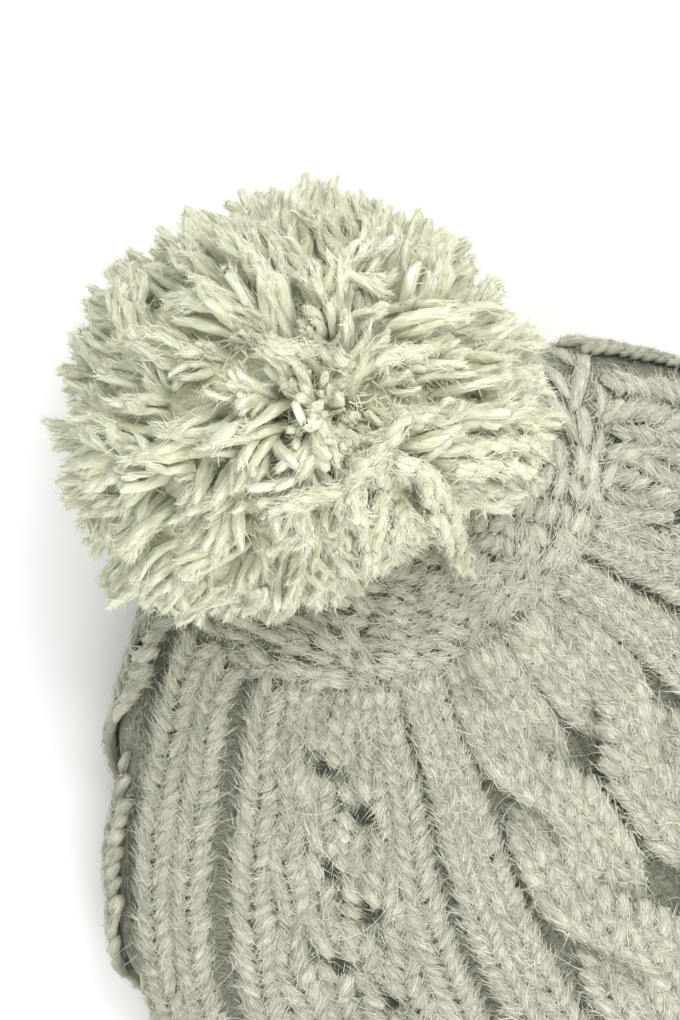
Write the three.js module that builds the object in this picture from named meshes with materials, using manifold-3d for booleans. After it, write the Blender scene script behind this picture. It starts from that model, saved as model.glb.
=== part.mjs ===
// A cable-knit bobble beanie lying on its side, with the crown towards -X and the opening towards +X.
// Pieces: the knitted body, the ribbed band at its opening, the yarn pompom and the tie that holds it on.
// Millimetres, +Z up. The body rests on z = 0, and the origin is under the middle of the whole beanie.
import * as THREE from "three";
import { mergeVertices } from "three/addons/utils/BufferGeometryUtils.js";
import Module from "manifold-3d";

const wasm = await Module();
wasm.setup();

// Driving dimensions
const BODY_LENGTH = 190; // from the crown's eye to the band, along the upper layer
const FLAT_WIDTH = 230; // fold to fold on the mean outer face, where the body is widest
const LOFT = 49; // height of the lying body
const WALL = 5; // knitted fabric, from its mean outer face to the hollow
const REST_LIFT = 0.8; // mean outer face of the under layer above the floor, its ribs pressed flat
const RIB_RELIEF = 2.6; // how far a rib stands over the mean face
const COLUMN_RELIEF = 1.4; // how far a plain knit column beside the lace stands over it
const LACE_RELIEF = 0.8; // how the lace panel swells in its middle
const CABLE_RELIEF = 3.6; // how far a cable's strand stands over the mean face
const CABLE_PITCH = 38; // from one crossing of a cable to the next
const CABLE_START = 24; // from the crown's eye to where a first crossing starts
const CROSSING_LIFT = 1.6; // how much higher the strand that crosses over runs
const CABLE_SINK = 0.4; // valley between a cable's strands under the mean face
const DITCH_DEPTH = 2.1; // purl ditches under the mean face
const CROWN_RIDGE = 2.4; // ridge round the gathered top of the crown
const RIDGE_WIDTH = 7; // half width of that ridge
const GATHER_RELIEF = 1.3; // pleats inside the ridge
const GATHER_COUNT = 14; // pleats round the crown
const EYELET_RADIUS = 1.7; // holes of the lace panels
const EYELET_PITCH = 21; // from one eyelet to the next along a lace panel's line
const EYELET_MARGIN = 18; // plain knitting above the first eyelet and below the last
const BAND_HEIGHT = 54; // ribbed band, along the hat
const BAND_WIDTH = 222; // band's opening laid flat, fold to fold
const BAND_LOFT = 42; // height of the band at its opening
const BAND_WALL = 4.6; // band's fabric, from its mean outer face to the hollow
const BAND_RIB_RELIEF = 1.7; // ribs of the band
const BAND_RIBS = 30; // ribs round the band
const POMPOM_DIAMETER = 117; // across the tips of the yarn
const POMPOM_BACK = 26; // pompom's middle beyond the crown's eye
const POMPOM_SIDE = -9; // pompom's middle to the side of the crown's eye
const POMPOM_GAP = 0.5; // pompom's lowest lock above the floor
const LOCK_COUNT = 110; // locks of yarn round the pompom
const LOCK_LENGTH = 11; // how far a lock stands out from between its neighbours
const LOCK_SPREAD = 4; // how much one lock's length differs from another's
const TIE_RADIUS = 2.6; // yarn that ties the pompom on
const TIE_REACH = 16; // tie's length inside the pompom
const EYE_ROOM = 0.8; // room round the tie where the crown is drawn together
const KNOT_RADIUS = 8; // knot inside the crown
const KNOT_THICKNESS = 5;
const KNOT_DROP = 1.3; // knot under the gathered wall, which slopes there
const CLEARANCE = 0.3; // between pieces that meet
const SEAT_MARGIN = 0.9; // pompom's hollow over the crown's highest relief

const REPEATS = 3; // the panels run three times round the hat
const FOLD_SHARPNESS = 2.4; // exponent of the cross-section, 2 for an ellipse
const REFERENCE_SHARE = 0.58; // section on which the panels' widths are measured
const FRONT_OFFSET = 0.02; // share of a turn from the top line to the first cable's edge, towards +Y
const RIDGE_SHARE = 0.18; // where the ridge runs, as a share of the way from eye to band
const STRAND_PLACE = 0.26; // a cable strand's middle from its panel's edge, as a share of the panel
const STRAND_REACH = 0.3; // half a strand's width, as a share of its panel
const CROSSING_START = 0.1; // where a crossing starts and ends, as shares of the pitch
const CROSSING_END = 0.72;
const LACE_LINES = [
  { across: 0.55, shift: 0 },
  { across: 0.27, shift: 0.5 },
];

// Sections of the body from the crown's eye to the band. Lengths are shares: topX, sideX and underX of
// BODY_LENGTH; halfWidth and sway of FLAT_WIDTH / 2; topZ, sideZ and underZ of LOFT.
const SECTION_COLUMNS = ["share", "topX", "topZ", "sideX", "halfWidth", "sideZ", "underX", "underZ", "sway"];
const SECTIONS = [
  [0, 0.02, 0.825, 0, 0.035, 0.815, -0.02, 0.8, 0],
  [0.08, 0.105, 0.87, -0.018, 0.21, 0.735, -0.079, 0.645, -0.01],
  [0.16, 0.19, 0.91, -0.022, 0.4, 0.63, -0.102, 0.37, -0.02],
  [0.22, 0.258, 0.94, -0.005, 0.545, 0.56, -0.082, 0.13, -0.025],
  [0.32, 0.366, 0.98, 0.08, 0.695, 0.5, 0.016, 0, -0.02],
  [0.44, 0.484, 1, 0.213, 0.85, 0.46, 0.165, 0, -0.03],
  [0.58, 0.61, 1, 0.385, 0.96, 0.45, 0.355, 0, -0.025],
  [0.74, 0.753, 0.98, 0.61, 1, 0.45, 0.59, 0, -0.01],
  [0.88, 0.89, 0.945, 0.82, 1, 0.43, 0.81, 0, 0],
  [1, 1, 0.9, 1, 0.975, 0.41, 1, 0, 0],
].map((row) => Object.fromEntries(row.map((value, i) => [SECTION_COLUMNS[i], value])));

// One repeat of panels, in order from the deep middle ditch towards -Y. Widths are shares of the repeat,
// depth is a share of DITCH_DEPTH, and samples is the number of mesh columns that the panel takes.
const PANELS = [
  { kind: "cable", width: 0.174, samples: 5, hand: -1 },
  { kind: "ditch", width: 0.0253, samples: 2, depth: 0.8 },
  { kind: "rib", width: 0.095, samples: 3 },
  { kind: "ditch", width: 0.0285, samples: 2, depth: 1 },
  { kind: "column", width: 0.057, samples: 2 },
  { kind: "lace", width: 0.213, samples: 3 },
  { kind: "column", width: 0.057, samples: 2 },
  { kind: "ditch", width: 0.035, samples: 2, depth: 0.7 },
  { kind: "rib", width: 0.092, samples: 3 },
  { kind: "ditch", width: 0.022, samples: 2, depth: 0.8 },
  { kind: "cable", width: 0.1759, samples: 5, hand: 1 },
  { kind: "ditch", width: 0.0253, samples: 2, depth: 1.4 },
];

const RING_SHARES = [
  0, 0.045, 0.09, 0.135, 0.17, 0.2, 0.23, 0.265, 0.305, 0.345, 0.39, 0.435, 0.48, 0.525, 0.57, 0.615,
  0.66, 0.705, 0.75, 0.795, 0.84, 0.885, 0.94, 1,
];
const HOLLOW_SHARES = [0.03, 0.09, 0.16, 0.23, 0.32, 0.44, 0.58, 0.74, 0.88, 1];
const HOLLOW_COLUMNS = 44;
const SEAT_SHARES = [0, 0.05, 0.1, 0.16, 0.22, 0.32, 0.44, 0.58];
const FULL_TURN = 2 * Math.PI;

const clamp = THREE.MathUtils.clamp;
const smooth = THREE.MathUtils.smoothstep;

// The value of one column of the sections at a share, on a smooth curve through the rows.
function section(name, share) {
  const at = clamp(share, 0, 1);
  let row = SECTIONS.findIndex((s) => s.share >= at);
  row = clamp(row, 1, SECTIONS.length - 1);
  const [a, b] = [SECTIONS[row - 1], SECTIONS[row]];
  const before = SECTIONS[Math.max(row - 2, 0)];
  const after = SECTIONS[Math.min(row + 1, SECTIONS.length - 1)];
  const span = b.share - a.share;
  const slopeA = ((b[name] - before[name]) / (b.share - before.share)) * span;
  const slopeB = ((after[name] - a[name]) / (after.share - a.share)) * span;
  const k = (at - a.share) / span;
  return (
    (2 * k ** 3 - 3 * k ** 2 + 1) * a[name] +
    (k ** 3 - 2 * k ** 2 + k) * slopeA +
    (3 * k ** 2 - 2 * k ** 3) * b[name] +
    (k ** 3 - k ** 2) * slopeB
  );
}

// A point of the mean outer face. Angle 0 is the +Y fold, and a quarter turn is the top line.
function facePoint(share, angle) {
  const across = Math.cos(angle);
  const up = Math.sin(angle);
  const dome = (1 - Math.abs(across) ** FOLD_SHARPNESS) ** (1 / FOLD_SHARPNESS);
  const side = section("sideX", share) * BODY_LENGTH;
  const sideZ = section("sideZ", share) * LOFT;
  const endX = section(up >= 0 ? "topX" : "underX", share) * BODY_LENGTH;
  const topZ = section("topZ", share) * LOFT;
  const underZ = REST_LIFT + section("underZ", share) * (LOFT - REST_LIFT);
  const endZ = up >= 0 ? topZ : underZ;
  const half = FLAT_WIDTH / 2;
  return new THREE.Vector3(
    side + (endX - side) * Math.abs(up),
    (section("halfWidth", share) * across + section("sway", share)) * half,
    sideZ + (endZ - sideZ) * dome,
  );
}

// The outward normal of a surface given as a function of share and angle.
function normalOf(surface, share, angle) {
  const step = 0.004;
  const turn = 0.02;
  const low = Math.max(share - step, 0);
  const along = surface(Math.min(low + 2 * step, 1), angle).sub(surface(Math.min(low, 1 - 2 * step), angle));
  const around = surface(share, angle + turn).sub(surface(share, angle - turn));
  return around.cross(along).normalize();
}

// Angles at equal lengths along the reference section, starting at the top line and running towards -Y.
function turnTable(surface, share, count = 720) {
  const angles = Array.from({ length: count + 1 }, (_, i) => Math.PI / 2 + (FULL_TURN * i) / count);
  const lengths = [0];
  for (let i = 1; i <= count; i++) {
    const a = surface(share, angles[i]);
    const b = surface(share, angles[i - 1]);
    lengths.push(lengths[i - 1] + Math.hypot(a.y - b.y, a.z - b.z));
  }
  const total = lengths[count];
  const angleAt = (turn) => {
    const whole = Math.floor(turn);
    const wanted = (turn - whole) * total;
    let i = lengths.findIndex((l) => l >= wanted);
    i = clamp(i, 1, count);
    const k = (wanted - lengths[i - 1]) / (lengths[i] - lengths[i - 1]);
    return angles[i - 1] + k * (angles[i] - angles[i - 1]) + whole * FULL_TURN;
  };
  return { total, angleAt };
}

const bodyTurn = turnTable(facePoint, REFERENCE_SHARE);

// The panel that a share of a turn lies in, and how far across it.
function panelAt(turn) {
  const whole = (((turn + FRONT_OFFSET) % 1) + 1) % 1;
  let rest = (whole * REPEATS) % 1;
  for (const panel of PANELS) {
    if (rest < panel.width) return { panel, across: rest / panel.width };
    rest -= panel.width;
  }
  return { panel: PANELS[PANELS.length - 1], across: 1 };
}

// Relief of a two-strand cable. The strand that crosses over runs towards the cable's hand.
function cableRelief(across, along, hand) {
  const side = hand > 0 ? across : 1 - across;
  const run = (along - CABLE_START) / CABLE_PITCH;
  const phase = run - Math.floor(run);
  const shift = (1 - 2 * STRAND_PLACE) * smooth(phase, CROSSING_START, CROSSING_END);
  const over = STRAND_PLACE + shift;
  const under = 1 - STRAND_PLACE - shift;
  const strand = (middle) => Math.sqrt(Math.max(0, 1 - ((side - middle) / STRAND_REACH) ** 2));
  const lift = CROSSING_LIFT * Math.sin(Math.PI * clamp(phase / (CROSSING_START + CROSSING_END), 0, 1));
  return Math.max(strand(over) * (CABLE_RELIEF + lift), strand(under) * (CABLE_RELIEF - lift)) - CABLE_SINK;
}

// Relief of the knitted pattern over the mean outer face.
function bodyRelief(share, turn) {
  const { panel, across } = panelAt(turn);
  const along = section("topX", share) * BODY_LENGTH;
  const rounded = Math.sin(Math.PI * across) ** 0.6;
  let relief = LACE_RELIEF * rounded;
  if (panel.kind === "column") relief = COLUMN_RELIEF * rounded;
  if (panel.kind === "ditch") relief = -DITCH_DEPTH * panel.depth * Math.sin(Math.PI * across);
  if (panel.kind === "rib") relief = RIB_RELIEF * rounded;
  if (panel.kind === "cable") relief = cableRelief(across, along, panel.hand);
  const start = smooth(share, 0.8 * RIDGE_SHARE, 1.25 * RIDGE_SHARE);
  const end = 1 - 0.6 * smooth(share, 0.94, 1);
  const ridgeAt = section("topX", RIDGE_SHARE) * BODY_LENGTH;
  const ridge = CROWN_RIDGE * Math.exp(-(((along - ridgeAt) / RIDGE_WIDTH) ** 2));
  const pleat = GATHER_RELIEF * Math.sin(GATHER_COUNT * FULL_TURN * turn);
  return relief * start * end + ridge + pleat * smooth(share, 0, 0.5 * RIDGE_SHARE) * (1 - start);
}

// Shares of a turn for the mesh columns of the body, which follow the panels' edges.
function panelTurns() {
  const turns = [];
  for (let repeat = 0; repeat < REPEATS; repeat++) {
    let start = 0;
    for (const panel of PANELS) {
      for (let i = 0; i < panel.samples; i++) {
        turns.push((repeat + start + (panel.width * i) / panel.samples) / REPEATS - FRONT_OFFSET);
      }
      start += panel.width;
    }
  }
  return turns;
}

const evenTurns = (count) => Array.from({ length: count }, (_, i) => i / count);

// A closed solid from rings of points, each ring a list of Vector3 in the same order, with flat ends.
function solidOfRings(rings) {
  const count = rings[0].length;
  const centres = [rings[0], rings[rings.length - 1]].map((ring) =>
    ring.reduce((sum, p) => sum.add(p), new THREE.Vector3()).multiplyScalar(1 / count),
  );
  const points = [...rings.flat(), ...centres];
  const [firstCentre, lastCentre] = [points.length - 2, points.length - 1];
  const faces = [];
  for (let i = 0; i < count; i++) {
    const next = (i + 1) % count;
    for (let r = 0; r + 1 < rings.length; r++) {
      const [a, b, c, d] = [r * count + i, r * count + next, (r + 1) * count + next, (r + 1) * count + i];
      faces.push(a, d, b, b, d, c);
    }
    const last = (rings.length - 1) * count;
    faces.push(firstCentre, i, next, lastCentre, last + next, last + i);
  }
  const geometry = new THREE.BufferGeometry().setFromPoints(points);
  geometry.setIndex(faces);
  return geometry;
}

// A manifold-3d solid from a closed three.js geometry, facing out.
function solidOf(geometry) {
  const bare = geometry.clone();
  for (const name of Object.keys(bare.attributes)) if (name !== "position") bare.deleteAttribute(name);
  const merged = mergeVertices(bare, 1e-4);
  const vertProperties = new Float32Array(merged.attributes.position.array);
  const triVerts = new Uint32Array(merged.index.array);
  const made = new wasm.Manifold(new wasm.Mesh({ numProp: 3, vertProperties, triVerts }));
  if (made.volume() > 0) return made;
  for (let i = 0; i < triVerts.length; i += 3) triVerts.subarray(i, i + 3).reverse();
  return new wasm.Manifold(new wasm.Mesh({ numProp: 3, vertProperties, triVerts }));
}

// A named mesh from a manifold-3d solid.
function meshOf(name, solid, material) {
  const { numProp, numVert, vertProperties, triVerts } = solid.getMesh();
  const places = new Float32Array(numVert * 3);
  for (let i = 0; i < numVert; i++) places.set(vertProperties.subarray(i * numProp, i * numProp + 3), i * 3);
  const geometry = new THREE.BufferGeometry();
  geometry.setAttribute("position", new THREE.BufferAttribute(places, 3));
  geometry.setIndex(new THREE.BufferAttribute(new Uint32Array(triVerts), 1));
  geometry.computeVertexNormals();
  const mesh = new THREE.Mesh(geometry, material);
  mesh.name = name;
  return mesh;
}

const settled = (point, floor = 0) => point.setZ(Math.max(point.z, floor));

// The body's outer face with its pattern, grown by a margin.
function bodyOuter(shares, turns, reliefOf, margin, floor) {
  return solidOfRings(
    shares.map((share) =>
      turns.map((turn) => {
        const angle = bodyTurn.angleAt(turn);
        const out = normalOf(facePoint, share, angle).multiplyScalar(reliefOf(share, turn) + margin);
        return settled(facePoint(share, angle).add(out), floor);
      }),
    ),
  );
}

// The hollow inside a wall of a surface, reaching past the open end by over.
function hollowOf(surface, turnOf, shares, wall, over) {
  const rings = shares.map((share) =>
    evenTurns(HOLLOW_COLUMNS).map((turn) => {
      const angle = turnOf.angleAt(turn);
      return surface(share, angle).sub(normalOf(surface, share, angle).multiplyScalar(wall));
    }),
  );
  const mouth = rings[rings.length - 1];
  mouth.forEach((p) => p.setX(surface(1, 0).x));
  rings.push(mouth.map((p) => p.clone().add(new THREE.Vector3(over, 0, 0))));
  return solidOfRings(rings);
}

// A point of the band's mean outer face. share runs from the body to the opening.
function bandPoint(share, angle) {
  const body = facePoint(1, angle);
  const widthAtBody = section("halfWidth", 1) * FLAT_WIDTH;
  const loftAtBody = section("topZ", 1) * LOFT;
  const wide = THREE.MathUtils.lerp(1, BAND_WIDTH / widthAtBody, smooth(share, 0, 1));
  const high = THREE.MathUtils.lerp(1, BAND_LOFT / loftAtBody, smooth(share, 0, 1));
  return new THREE.Vector3(
    BODY_LENGTH + CLEARANCE + share * BAND_HEIGHT,
    body.y * wide,
    REST_LIFT + (body.z - REST_LIFT) * high,
  );
}

const bandTurn = turnTable(bandPoint, 0.5);

// The normal of a band section, square to the hat's length.
function bandNormal(share, angle) {
  const around = bandPoint(share, angle + 0.02).sub(bandPoint(share, angle - 0.02));
  return new THREE.Vector3(0, around.z, -around.y).normalize();
}

// Where one eyelet of a lace panel goes through the wall, as a thin prism along the normal.
function eyeletCutter(share, turn) {
  const angle = bodyTurn.angleAt(turn);
  const middle = facePoint(share, angle);
  const cutter = new THREE.CylinderGeometry(EYELET_RADIUS, EYELET_RADIUS, 4 * WALL, 5);
  cutter.applyQuaternion(
    new THREE.Quaternion().setFromUnitVectors(new THREE.Vector3(0, 1, 0), normalOf(facePoint, share, angle)),
  );
  return cutter.translate(middle.x, middle.y, middle.z);
}

// Eyelets on the lines of each lace panel, from under the ridge to above the band.
function eyeletCutters() {
  const lace = PANELS.findIndex((panel) => panel.kind === "lace");
  const start = PANELS.slice(0, lace).reduce((sum, panel) => sum + panel.width, 0);
  const cutters = [];
  const first = RIDGE_SHARE * BODY_LENGTH + EYELET_MARGIN;
  for (const line of LACE_LINES) {
    for (let x = first + line.shift * EYELET_PITCH; x < BODY_LENGTH - EYELET_MARGIN; x += EYELET_PITCH) {
      for (let repeat = 0; repeat < REPEATS; repeat++) {
        const turn = (repeat + start + PANELS[lace].width * line.across) / REPEATS - FRONT_OFFSET;
        cutters.push(eyeletCutter(x / BODY_LENGTH, turn));
      }
    }
  }
  return cutters;
}

// The crown's eye: its middle, and the direction out of the hat there.
const crownEye = facePoint(0, Math.PI / 2).lerp(facePoint(0, -Math.PI / 2), 0.5);
const crownOut = facePoint(0.04, Math.PI / 2)
  .sub(facePoint(0.04, -Math.PI / 2))
  .cross(new THREE.Vector3(0, 1, 0))
  .normalize();

// Turns a geometry made round the Y axis so that it stands on the crown's eye.
function ontoCrown(geometry) {
  geometry.applyQuaternion(new THREE.Quaternion().setFromUnitVectors(new THREE.Vector3(0, 1, 0), crownOut));
  return geometry.translate(crownEye.x, crownEye.y, crownEye.z);
}

function knitBody(material) {
  let body = solidOf(bodyOuter(RING_SHARES, panelTurns(), bodyRelief, 0, 0));
  body = body.subtract(solidOf(hollowOf(facePoint, bodyTurn, HOLLOW_SHARES, WALL, 2)));
  const eyeRadius = TIE_RADIUS + EYE_ROOM;
  body = body.subtract(solidOf(ontoCrown(new THREE.CylinderGeometry(eyeRadius, eyeRadius, 8 * WALL, 10))));
  for (const cutter of eyeletCutters()) body = body.subtract(solidOf(cutter));
  return meshOf("knit_body", body, material);
}

function ribBand(material) {
  const shares = [0, 0.12, 0.5, 0.9, 1];
  const perRib = 4;
  const rings = shares.map((share) =>
    evenTurns(BAND_RIBS * perRib).map((turn) => {
      const angle = bandTurn.angleAt(turn);
      const rib = Math.cos(BAND_RIBS * FULL_TURN * turn) * BAND_RIB_RELIEF * (share === 1 ? 0.5 : 1);
      return settled(bandPoint(share, angle).add(bandNormal(share, angle).multiplyScalar(rib)));
    }),
  );
  const inner = [-0.04, 0.5, 1.04].map((share) =>
    evenTurns(HOLLOW_COLUMNS).map((turn) => {
      const angle = bandTurn.angleAt(turn);
      return bandPoint(share, angle).sub(bandNormal(share, angle).multiplyScalar(BAND_WALL));
    }),
  );
  return meshOf("rib_band", solidOf(solidOfRings(rings)).subtract(solidOf(solidOfRings(inner))), material);
}

// Unit vectors spread evenly round a ball.
function spreadOver(count) {
  return Array.from({ length: count }, (_, i) => {
    const height = 1 - (2 * (i + 0.5)) / count;
    const turn = i * Math.PI * (3 - Math.sqrt(5));
    const flat = Math.sqrt(1 - height * height);
    return new THREE.Vector3(flat * Math.cos(turn), flat * Math.sin(turn), height);
  });
}

// A ball of locks fused at their roots, hollowed where it sits on the crown and where the tie goes in.
function pompom(material) {
  const radius = POMPOM_DIAMETER / 2;
  const locks = spreadOver(LOCK_COUNT);
  const reach = (i) => radius - LOCK_SPREAD * (0.5 + 0.5 * Math.sin(7.1 * i));
  const halfLock = Math.sqrt(Math.PI / LOCK_COUNT);
  const geometry = new THREE.IcosahedronGeometry(radius, 10);
  const places = geometry.attributes.position;
  for (let v = 0; v < places.count; v++) {
    const out = new THREE.Vector3().fromBufferAttribute(places, v).normalize();
    let length = 0;
    for (const [i, lock] of locks.entries()) {
      const away = out.angleTo(lock) / (1.35 * halfLock);
      length = Math.max(length, reach(i) - LOCK_LENGTH * Math.min(away * away, 1.4));
    }
    out.multiplyScalar(length);
    places.setXYZ(v, out.x, out.y, out.z);
  }
  const rise = radius + POMPOM_GAP;
  const ball = solidOf(geometry).translate([crownEye.x - POMPOM_BACK, crownEye.y + POMPOM_SIDE, rise]);
  const seatRelief = Math.max(CROWN_RIDGE, RIB_RELIEF, CABLE_RELIEF + CROSSING_LIFT);
  const rising = (share) => smooth(share, 0.4 * RIDGE_SHARE, RIDGE_SHARE);
  const seatOf = (share) => THREE.MathUtils.lerp(GATHER_RELIEF, seatRelief, rising(share));
  const seat = bodyOuter(SEAT_SHARES, evenTurns(30), seatOf, SEAT_MARGIN, -LOFT);
  const boreRadius = TIE_RADIUS + CLEARANCE;
  const bore = ontoCrown(new THREE.CylinderGeometry(boreRadius, boreRadius, 2 * (TIE_REACH + CLEARANCE), 10));
  return meshOf("pompom", ball.subtract(solidOf(seat)).subtract(solidOf(bore)), material);
}

// One plain piece of yarn through the crown's eye, with its knot inside the hat.
function pompomTie(material) {
  const seat = -WALL - KNOT_DROP;
  const profile = [
    [0, seat - KNOT_THICKNESS],
    [0.8 * KNOT_RADIUS, seat - KNOT_THICKNESS],
    [KNOT_RADIUS, seat - 0.5 * KNOT_THICKNESS],
    [0.7 * KNOT_RADIUS, seat],
    [TIE_RADIUS, seat],
    [TIE_RADIUS, TIE_REACH - 0.5 * TIE_RADIUS],
    [0, TIE_REACH],
  ].map(([r, y]) => new THREE.Vector2(r, y));
  return meshOf("pompom_tie", solidOf(ontoCrown(new THREE.LatheGeometry(profile, 10))), material);
}

const wool = new THREE.MeshStandardMaterial({ color: 0xc3c3ae, roughness: 0.95, metalness: 0 });
const bobbleYarn = new THREE.MeshStandardMaterial({ color: 0xd6d7bd, roughness: 0.95, metalness: 0 });

const beanie = new THREE.Group();
beanie.add(knitBody(wool), ribBand(wool), pompom(bobbleYarn), pompomTie(bobbleYarn));

// The origin goes under the middle of the whole beanie.
const box = new THREE.Box3().setFromObject(beanie);
beanie.position.set(-(box.min.x + box.max.x) / 2, -(box.min.y + box.max.y) / 2, -box.min.z);

export default beanie;
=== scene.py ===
"""A cable-knit bobble beanie in fuzzy pale wool, lying on its side and seen from above."""

import math

import bpy
import numpy as np
from mathutils import Matrix, Vector


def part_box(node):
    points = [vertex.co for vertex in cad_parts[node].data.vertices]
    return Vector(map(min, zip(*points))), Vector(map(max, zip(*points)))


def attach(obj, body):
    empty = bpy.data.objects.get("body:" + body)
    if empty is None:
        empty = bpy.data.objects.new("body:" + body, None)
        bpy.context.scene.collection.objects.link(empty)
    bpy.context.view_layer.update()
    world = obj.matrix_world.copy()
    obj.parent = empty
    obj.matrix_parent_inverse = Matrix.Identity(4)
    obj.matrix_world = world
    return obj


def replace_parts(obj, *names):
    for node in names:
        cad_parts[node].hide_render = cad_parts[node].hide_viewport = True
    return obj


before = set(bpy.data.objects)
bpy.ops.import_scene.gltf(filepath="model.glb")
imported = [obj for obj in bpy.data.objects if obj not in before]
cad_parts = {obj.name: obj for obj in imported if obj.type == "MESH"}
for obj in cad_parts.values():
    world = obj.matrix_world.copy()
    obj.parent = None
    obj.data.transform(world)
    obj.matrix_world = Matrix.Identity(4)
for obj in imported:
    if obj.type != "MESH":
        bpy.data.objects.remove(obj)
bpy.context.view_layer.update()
MM = 0.001
RNG = np.random.default_rng(11)

# The hat's form, in millimetres, as the frame's solids have it.
BODY_LENGTH = 190.0
FLAT_WIDTH = 230.0
LOFT = 49.0
WALL = 5.0
REST_LIFT = 0.8
RIB_RELIEF = 2.6
COLUMN_RELIEF = 1.4
LACE_RELIEF = 0.8
CABLE_RELIEF = 3.6
CABLE_PITCH = 38.0
CABLE_START = 24.0
CROSSING_LIFT = 1.6
DITCH_DEPTH = 2.1
CROWN_RIDGE = 2.4
RIDGE_WIDTH = 7.0
GATHER_RELIEF = 1.3
GATHER_COUNT = 14
EYELET_RADIUS = 1.7
EYELET_PITCH = 21.0
EYELET_MARGIN = 18.0
BAND_HEIGHT = 54.0
BAND_WIDTH = 222.0
BAND_LOFT = 42.0
BAND_WALL = 4.6
BAND_RIBS = 30
POMPOM_DIAMETER = 117.0
POMPOM_BACK = 26.0
POMPOM_SIDE = -9.0
CLEARANCE = 0.3
REPEATS = 3
FOLD_SHARPNESS = 2.4
REFERENCE_SHARE = 0.58
FRONT_OFFSET = 0.02
RIDGE_SHARE = 0.18
SECTION_COLUMNS = ["share", "topX", "topZ", "sideX", "halfWidth", "sideZ", "underX", "underZ", "sway"]
SECTIONS = np.array([
    [0, 0.02, 0.825, 0, 0.035, 0.815, -0.02, 0.8, 0],
    [0.08, 0.105, 0.87, -0.018, 0.21, 0.735, -0.079, 0.645, -0.01],
    [0.16, 0.19, 0.91, -0.022, 0.4, 0.63, -0.102, 0.37, -0.02],
    [0.22, 0.258, 0.94, -0.005, 0.545, 0.56, -0.082, 0.13, -0.025],
    [0.32, 0.366, 0.98, 0.08, 0.695, 0.5, 0.016, 0, -0.02],
    [0.44, 0.484, 1, 0.213, 0.85, 0.46, 0.165, 0, -0.03],
    [0.58, 0.61, 1, 0.385, 0.96, 0.45, 0.355, 0, -0.025],
    [0.74, 0.753, 0.98, 0.61, 1, 0.45, 0.59, 0, -0.01],
    [0.88, 0.89, 0.945, 0.82, 1, 0.43, 0.81, 0, 0],
    [1, 1, 0.9, 1, 0.975, 0.41, 1, 0, 0],
])
# One repeat of panels from the deep middle ditch towards -Y: kind, width as a share of the repeat, and
# the cable's hand or the ditch's depth.
PANELS = [
    ("cable", 0.174, -1),
    ("ditch", 0.0253, 0.8),
    ("rib", 0.095, 0),
    ("ditch", 0.0285, 1),
    ("column", 0.057, 0),
    ("lace", 0.213, 0),
    ("column", 0.057, 0),
    ("ditch", 0.035, 0.7),
    ("rib", 0.092, 0),
    ("ditch", 0.022, 0.8),
    ("cable", 0.1759, 1),
    ("ditch", 0.0253, 1.4),
]
PANEL_RELIEF = {"rib": RIB_RELIEF, "column": COLUMN_RELIEF, "lace": LACE_RELIEF}
LACE_LINES = [(0.55, 0.0), (0.27, 0.5)]  # place across the lace panel, and shift along it in eyelet pitches

# Stitches and fibres, in millimetres
ROW_PITCH = 3.1  # one row of knitting, along the top line
PURL_LENGTH = 5.6  # a purl bump, along its row
LACE_WALES = 4
LACE_SWELL = 1.1
CABLE_PUFF = 1.3  # how far the cable's yarn stands over the cable's solid at its crest
CABLE_ROW = 1.25  # a cable's row over a plain one
WALE_WIDTH = 9.5  # a rib that is wider is knitted in more than one column
STITCHES_START = 1.12 * RIDGE_SHARE  # the stitches' first row and last row, as shares of the body
STITCHES_END = 0.995
CROWN_ROW = 2.5
BACKING_SINK = 0.9  # how far the fabric behind the stitches lies under their relief
FIBRE_WIDTH = 0.23
FLOOR_GAP = 0.3  # the least height of fibres and strands over the floor
STITCH_GAP = 0.25  # the least height of stitches and fabric over the floor
# The eyelets' dark shades are painted shade in the holes.
EYELET_RINGS = [(2.7, 0.3, -0.1), (2.0, 0.2, -0.7), (0.01, 0.1, -0.8)]  # radius, rise and shade
BAND_START = 1 + CLEARANCE / BODY_LENGTH
BAND_END = BAND_START + BAND_HEIGHT / BODY_LENGTH

# From the hat's own coordinates, with the crown at the start, to the frame's, in millimetres
BAND_LOW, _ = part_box("rib_band")
TIE_LOW, TIE_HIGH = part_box("pompom_tie")
OFFSET = np.array([BAND_LOW[0] / MM - BODY_LENGTH - CLEARANCE, (TIE_LOW[1] + TIE_HIGH[1]) / 2 / MM, 0.0])


def smooth(x, low, high):
    k = np.clip((x - low) / (high - low), 0, 1)
    return k * k * (3 - 2 * k)


def unit(vectors):
    return vectors / np.maximum(np.linalg.norm(vectors, axis=-1, keepdims=True), 1e-9)


def circle(sides, start=0.0):
    """Angles at equal steps round a circle."""
    return 2 * math.pi * (np.arange(sides) + start) / sides


def section(name, share):
    """One column of the sections on a smooth curve through the rows."""
    at = np.clip(share, 0, 1)
    rows = SECTIONS[:, 0]
    column = SECTIONS[:, SECTION_COLUMNS.index(name)]
    last = len(rows) - 1
    row = np.clip(np.searchsorted(rows, at, side="left"), 1, last)
    before, after = np.maximum(row - 2, 0), np.minimum(row + 1, last)
    span = rows[row] - rows[row - 1]
    slope_a = (column[row] - column[before]) / (rows[row] - rows[before]) * span
    slope_b = (column[after] - column[row - 1]) / (rows[after] - rows[row - 1]) * span
    k = (at - rows[row - 1]) / span
    return (
        (2 * k**3 - 3 * k**2 + 1) * column[row - 1]
        + (k**3 - 2 * k**2 + k) * slope_a
        + (3 * k**2 - 2 * k**3) * column[row]
        + (k**3 - k**2) * slope_b
    )


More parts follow.
